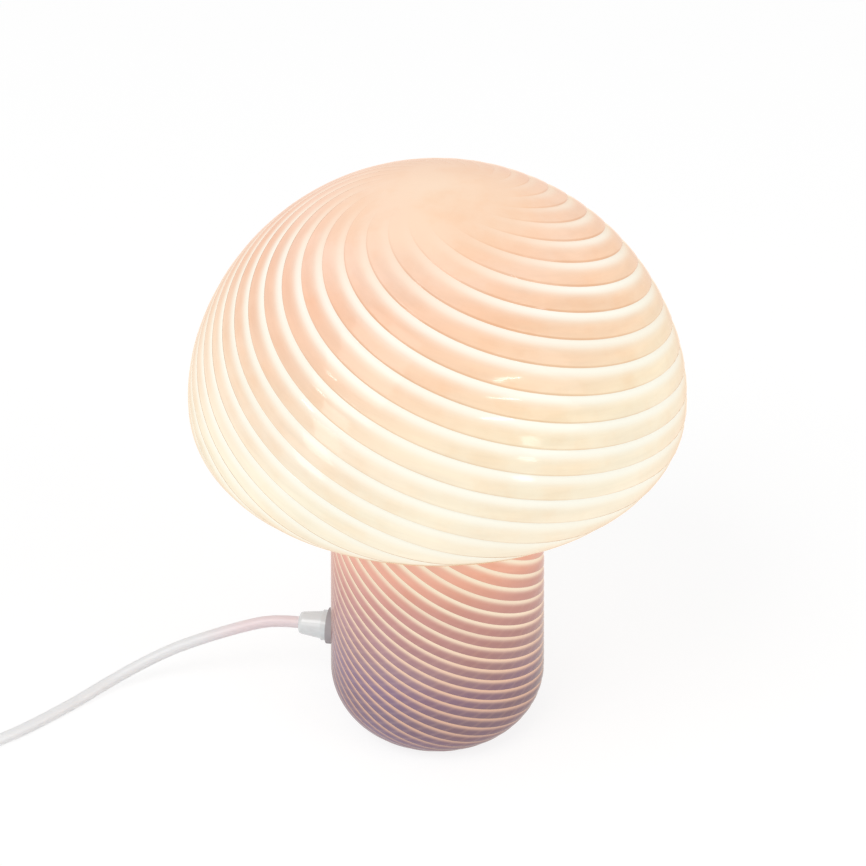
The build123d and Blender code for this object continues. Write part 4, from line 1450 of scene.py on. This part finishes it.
@dataclass
class GripBars:
    """Small moulded bars for the fingers on the plug and the rocker, in millimetres.

    Heading is the turn, in degrees, of the bars' crosswise direction from Y.
    """

    length: float
    radius: float
    heading: float
    finish: Finish

    @staticmethod
    @cache
    def tree() -> Tree:
        """Builds the tree that sets one bar on each point.

        Returns:
            The geometry node tree.
        """
        sockets = {"Geometry": "Geometry", "Length": "Float", "Radius": "Float"}
        sockets |= {"Aim": "Vector", "Material": "Material"}
        tree, sheet, given = new_tree("Geometry", "grip_bars", sockets, SHAPE_OUT)
        half = sheet.times(given["Length"], 0.5)
        ends = {"Start": sheet.joined(y=sheet.times(half, -1.0)), "End": sheet.joined(y=half)}
        line = sheet.out("GeometryNodeCurvePrimitiveLine", ends)
        line = sheet.out("GeometryNodeResampleCurve", {"Curve": line, "Count": 15})
        share = sheet.add("GeometryNodeSplineParameter").outputs["Factor"]
        off_middle = sheet.math("ABSOLUTE", sheet.scaled(share, 2.0, -1.0))
        swell = sheet.math("SQRT", sheet.less(1.02, sheet.math("POWER", off_middle, 8.0)))
        bar = swept_round(sheet, line, sheet.times(swell, given["Radius"]), 12)
        aim = sheet.out("FunctionNodeEulerToRotation", {0: given["Aim"]})
        inputs = {"Points": given["Geometry"], "Instance": bar, "Rotation": aim}
        set_out = sheet.out("GeometryNodeInstanceOnPoints", inputs)
        finish_tree(sheet, set_out, given["Material"])
        return tree

    def build(self, name: str, spots: list, body: Body) -> Object:
        """Sets bars on a surface.

        Args:
            name: the piece's name.
            spots: middles of the bars in metres.
            body: the body they ride on.

        Returns:
            The bars' object.
        """
        mesh = bpy.data.meshes.new(name)
        mesh.from_pydata(spots, [], [])
        bars = shown(name, mesh)
        sizes = {"Length": self.length * MM, "Radius": self.radius * MM}
        sizes |= {"Aim": (0.0, 0.0, math.radians(self.heading)), "Material": self.finish.material()}
        grown_mesh(bars, self.tree(), sizes)
        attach(bars, body.value)
        log.info("%s: %d bars set", name, len(spots))
        return bars


@dataclass
class CordOutlet:
    """Gland, washers and nut in the stem's side."""

    white: Finish = GLAND_WHITE
    rubber: Finish = WASHER_GREY

    def build(self) -> None:
        """Dresses the outlet's nodes."""
        for node in ("outlet_gland", "outlet_nut"):
            dress(node, self.white)
        for node in ("outlet_washer", "inner_washer"):
            dress(node, self.rubber)


@dataclass
class InlineSwitch:
    """The rocker switch on the lead."""

    nodes: ClassVar[tuple] = (
        "switch_lower_housing",
        "switch_upper_housing",
        "switch_screws",
        "switch_contacts",
        "switch_rocker",
    )
    shell: Finish = SHELL_WHITE
    rocker: Finish = ROCKER_WHITE
    middle: tuple = (-288.0, -38.0)
    heading: float = 140.0
    pivot_height: float = 11.0
    rocker_tilt: float = 8.0
    half_rocker: float = 9.0
    rise: float = 5.0
    dip: float = 3.4
    bar_places: tuple = (4.2, 5.7, 7.2)
    bar_length: float = 6.6
    bar_radius: float = 0.34
    bar_sunk: float = 0.35

    def build(self) -> None:
        """Dresses the switch's nodes and sets the rocker's bars."""
        for node, finish in zip(self.nodes, (self.shell, self.shell, ZINC_STEEL, BRASS, self.rocker)):
            dress(node, finish)
        place = Matrix.Translation(Vector((*self.middle, self.pivot_height)) * MM)
        place @= Matrix.Rotation(math.radians(self.heading), 4, "Z")
        place @= Matrix.Rotation(math.radians(self.rocker_tilt), 4, "Y")
        spots = []
        for side in (-1, 1):
            for reach in self.bar_places:
                surface = self.dip + (self.rise - self.dip) * reach / self.half_rocker
                height = surface - self.bar_radius * self.bar_sunk
                spots.append(place @ (Vector((side * reach, 0.0, height)) * MM))
        grip = GripBars(self.bar_length, self.bar_radius, self.heading, self.rocker)
        bars = grip.build("rocker_grip_bars", spots, Body.ROCKER)


@dataclass
class MainsPlug:
    """The flat two-pin plug."""

    nodes: ClassVar[tuple] = ("plug_body", "plug_pins")
    shell: Finish = SHELL_WHITE
    rear: tuple = (-257.0, 26.8)
    heading: float = -84.0
    thickness: float = 13.7
    bar_places: tuple = (19.5, 22.0, 24.5, 27.0, 29.5)
    bar_length: float = 15.0
    bar_radius: float = 0.55
    bar_sunk: float = 0.4

    def build(self) -> None:
        """Dresses the plug's nodes and sets its bars."""
        for node, finish in zip(self.nodes, (self.shell, SATIN_NICKEL)):
            dress(node, finish)
        turn = math.radians(self.heading)
        height = self.thickness - self.bar_radius * self.bar_sunk
        east, north = math.cos(turn), math.sin(turn)
        spots = [
            Vector((self.rear[0] + east * reach, self.rear[1] + north * reach, height)) * MM
            for reach in self.bar_places
        ]
        grip = GripBars(self.bar_length, self.bar_radius, self.heading, self.shell)
        bars = grip.build("plug_grip_bars", spots, Body.LAMP)


@dataclass
class BaseAndHolder:
    """Foot ring, base disc, bracket and the lamp holder on it."""

    finishes: tuple = (
        (CLEAR_SILICONE, ("foot_ring", "grip_collar")),
        (WHITE_STEEL, ("base_disc",)),
        (ZINC_STEEL, ("holder_bracket", "bracket_screws", "threaded_nipple", "nipple_nut", "toothed_washer")),
        (SHELL_WHITE, ("holder_cap", "holder_skirt")),
        (CERAMIC, ("holder_core",)),
        (BRASS, ("terminal_screws", "centre_contact")),
    )
    shell_radii: tuple = (7.05, 7.55)
    shell_ends: tuple = (103.0, 123.5)
    thread_ends: tuple = (108.6, 122.6)
    thread_swell: float = 0.42

    def build(self) -> None:
        """Dresses the nodes of base and holder and rolls the socket's shell."""
        for finish, nodes in self.finishes:
            for node in nodes:
                dress(node, finish)
        inner, outer = self.shell_radii
        thread = RolledThread()
        heights = thread.heights(*self.shell_ends)
        outline = [(outer, height) for height in heights] + [(inner, height) for height in reversed(heights)]
        shell = shown("threaded_shell", turned_mesh("threaded_shell", outline, thread.columns, True))
        thread.press(shell, *self.thread_ends, self.thread_swell, BRASS)
        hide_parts("screw_shell")
        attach(shell, Body.CARRIER.value)


@dataclass
class ScrewBulb:
    """The small opal bulb in its screw cap."""

    finishes: tuple = (
        (OPAL_BULB, ("bulb_globe", "bulb_stem")),
        (FILAMENT, ("led_filaments",)),
        (ZINC_STEEL, ("bulb_button",)),
        (BLACK_PLASTIC, ("cap_insulator",)),
    )
    cap_radius: float = 6.95
    cap_edge: float = 0.3
    cap_bottom: float = 108.2
    cap_flare: float = 124.0
    neck_radius: float = 8.2
    neck_top: float = 128.0
    neck_edge: float = 0.1
    thread_ends: tuple = (109.0, 122.4)
    thread_depth: float = 0.42

    def build(self) -> None:
        """Dresses the bulb's nodes and rolls its cap."""
        for finish, nodes in self.finishes:
            for node in nodes:
                dress(node, finish)
        thread = RolledThread()
        heights = thread.heights(self.cap_bottom + self.cap_edge, self.cap_flare)
        outline = [(0.0, self.cap_bottom), (self.cap_radius - self.cap_edge, self.cap_bottom)]
        outline += [(self.cap_radius, height) for height in heights]
        outline += [(self.neck_radius, self.neck_top - below) for below in (1.0, self.neck_edge)]
        outline += [(self.neck_radius - self.neck_edge, self.neck_top), (0.0, self.neck_top)]
        cap = shown("threaded_cap", turned_mesh("threaded_cap", outline, thread.columns, False))
        thread.press(cap, *self.thread_ends, -self.thread_depth, SATIN_NICKEL)
        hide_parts("bulb_cap")
        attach(cap, Body.BULB.value)


def main() -> None:
    """Builds the scene piece by piece."""
    logging.basicConfig(level=logging.INFO, format="%(name)s: %(message)s")
    PhotoCamera().place()
    MainsCord().build()
    InnerLead().build()
    Studio().build()
    SwirlGlass().build()
    CordOutlet().build()
    InlineSwitch().build()
    MainsPlug().build()
    BaseAndHolder().build()
    ScrewBulb().build()


if __name__ == "__main__":
    main()
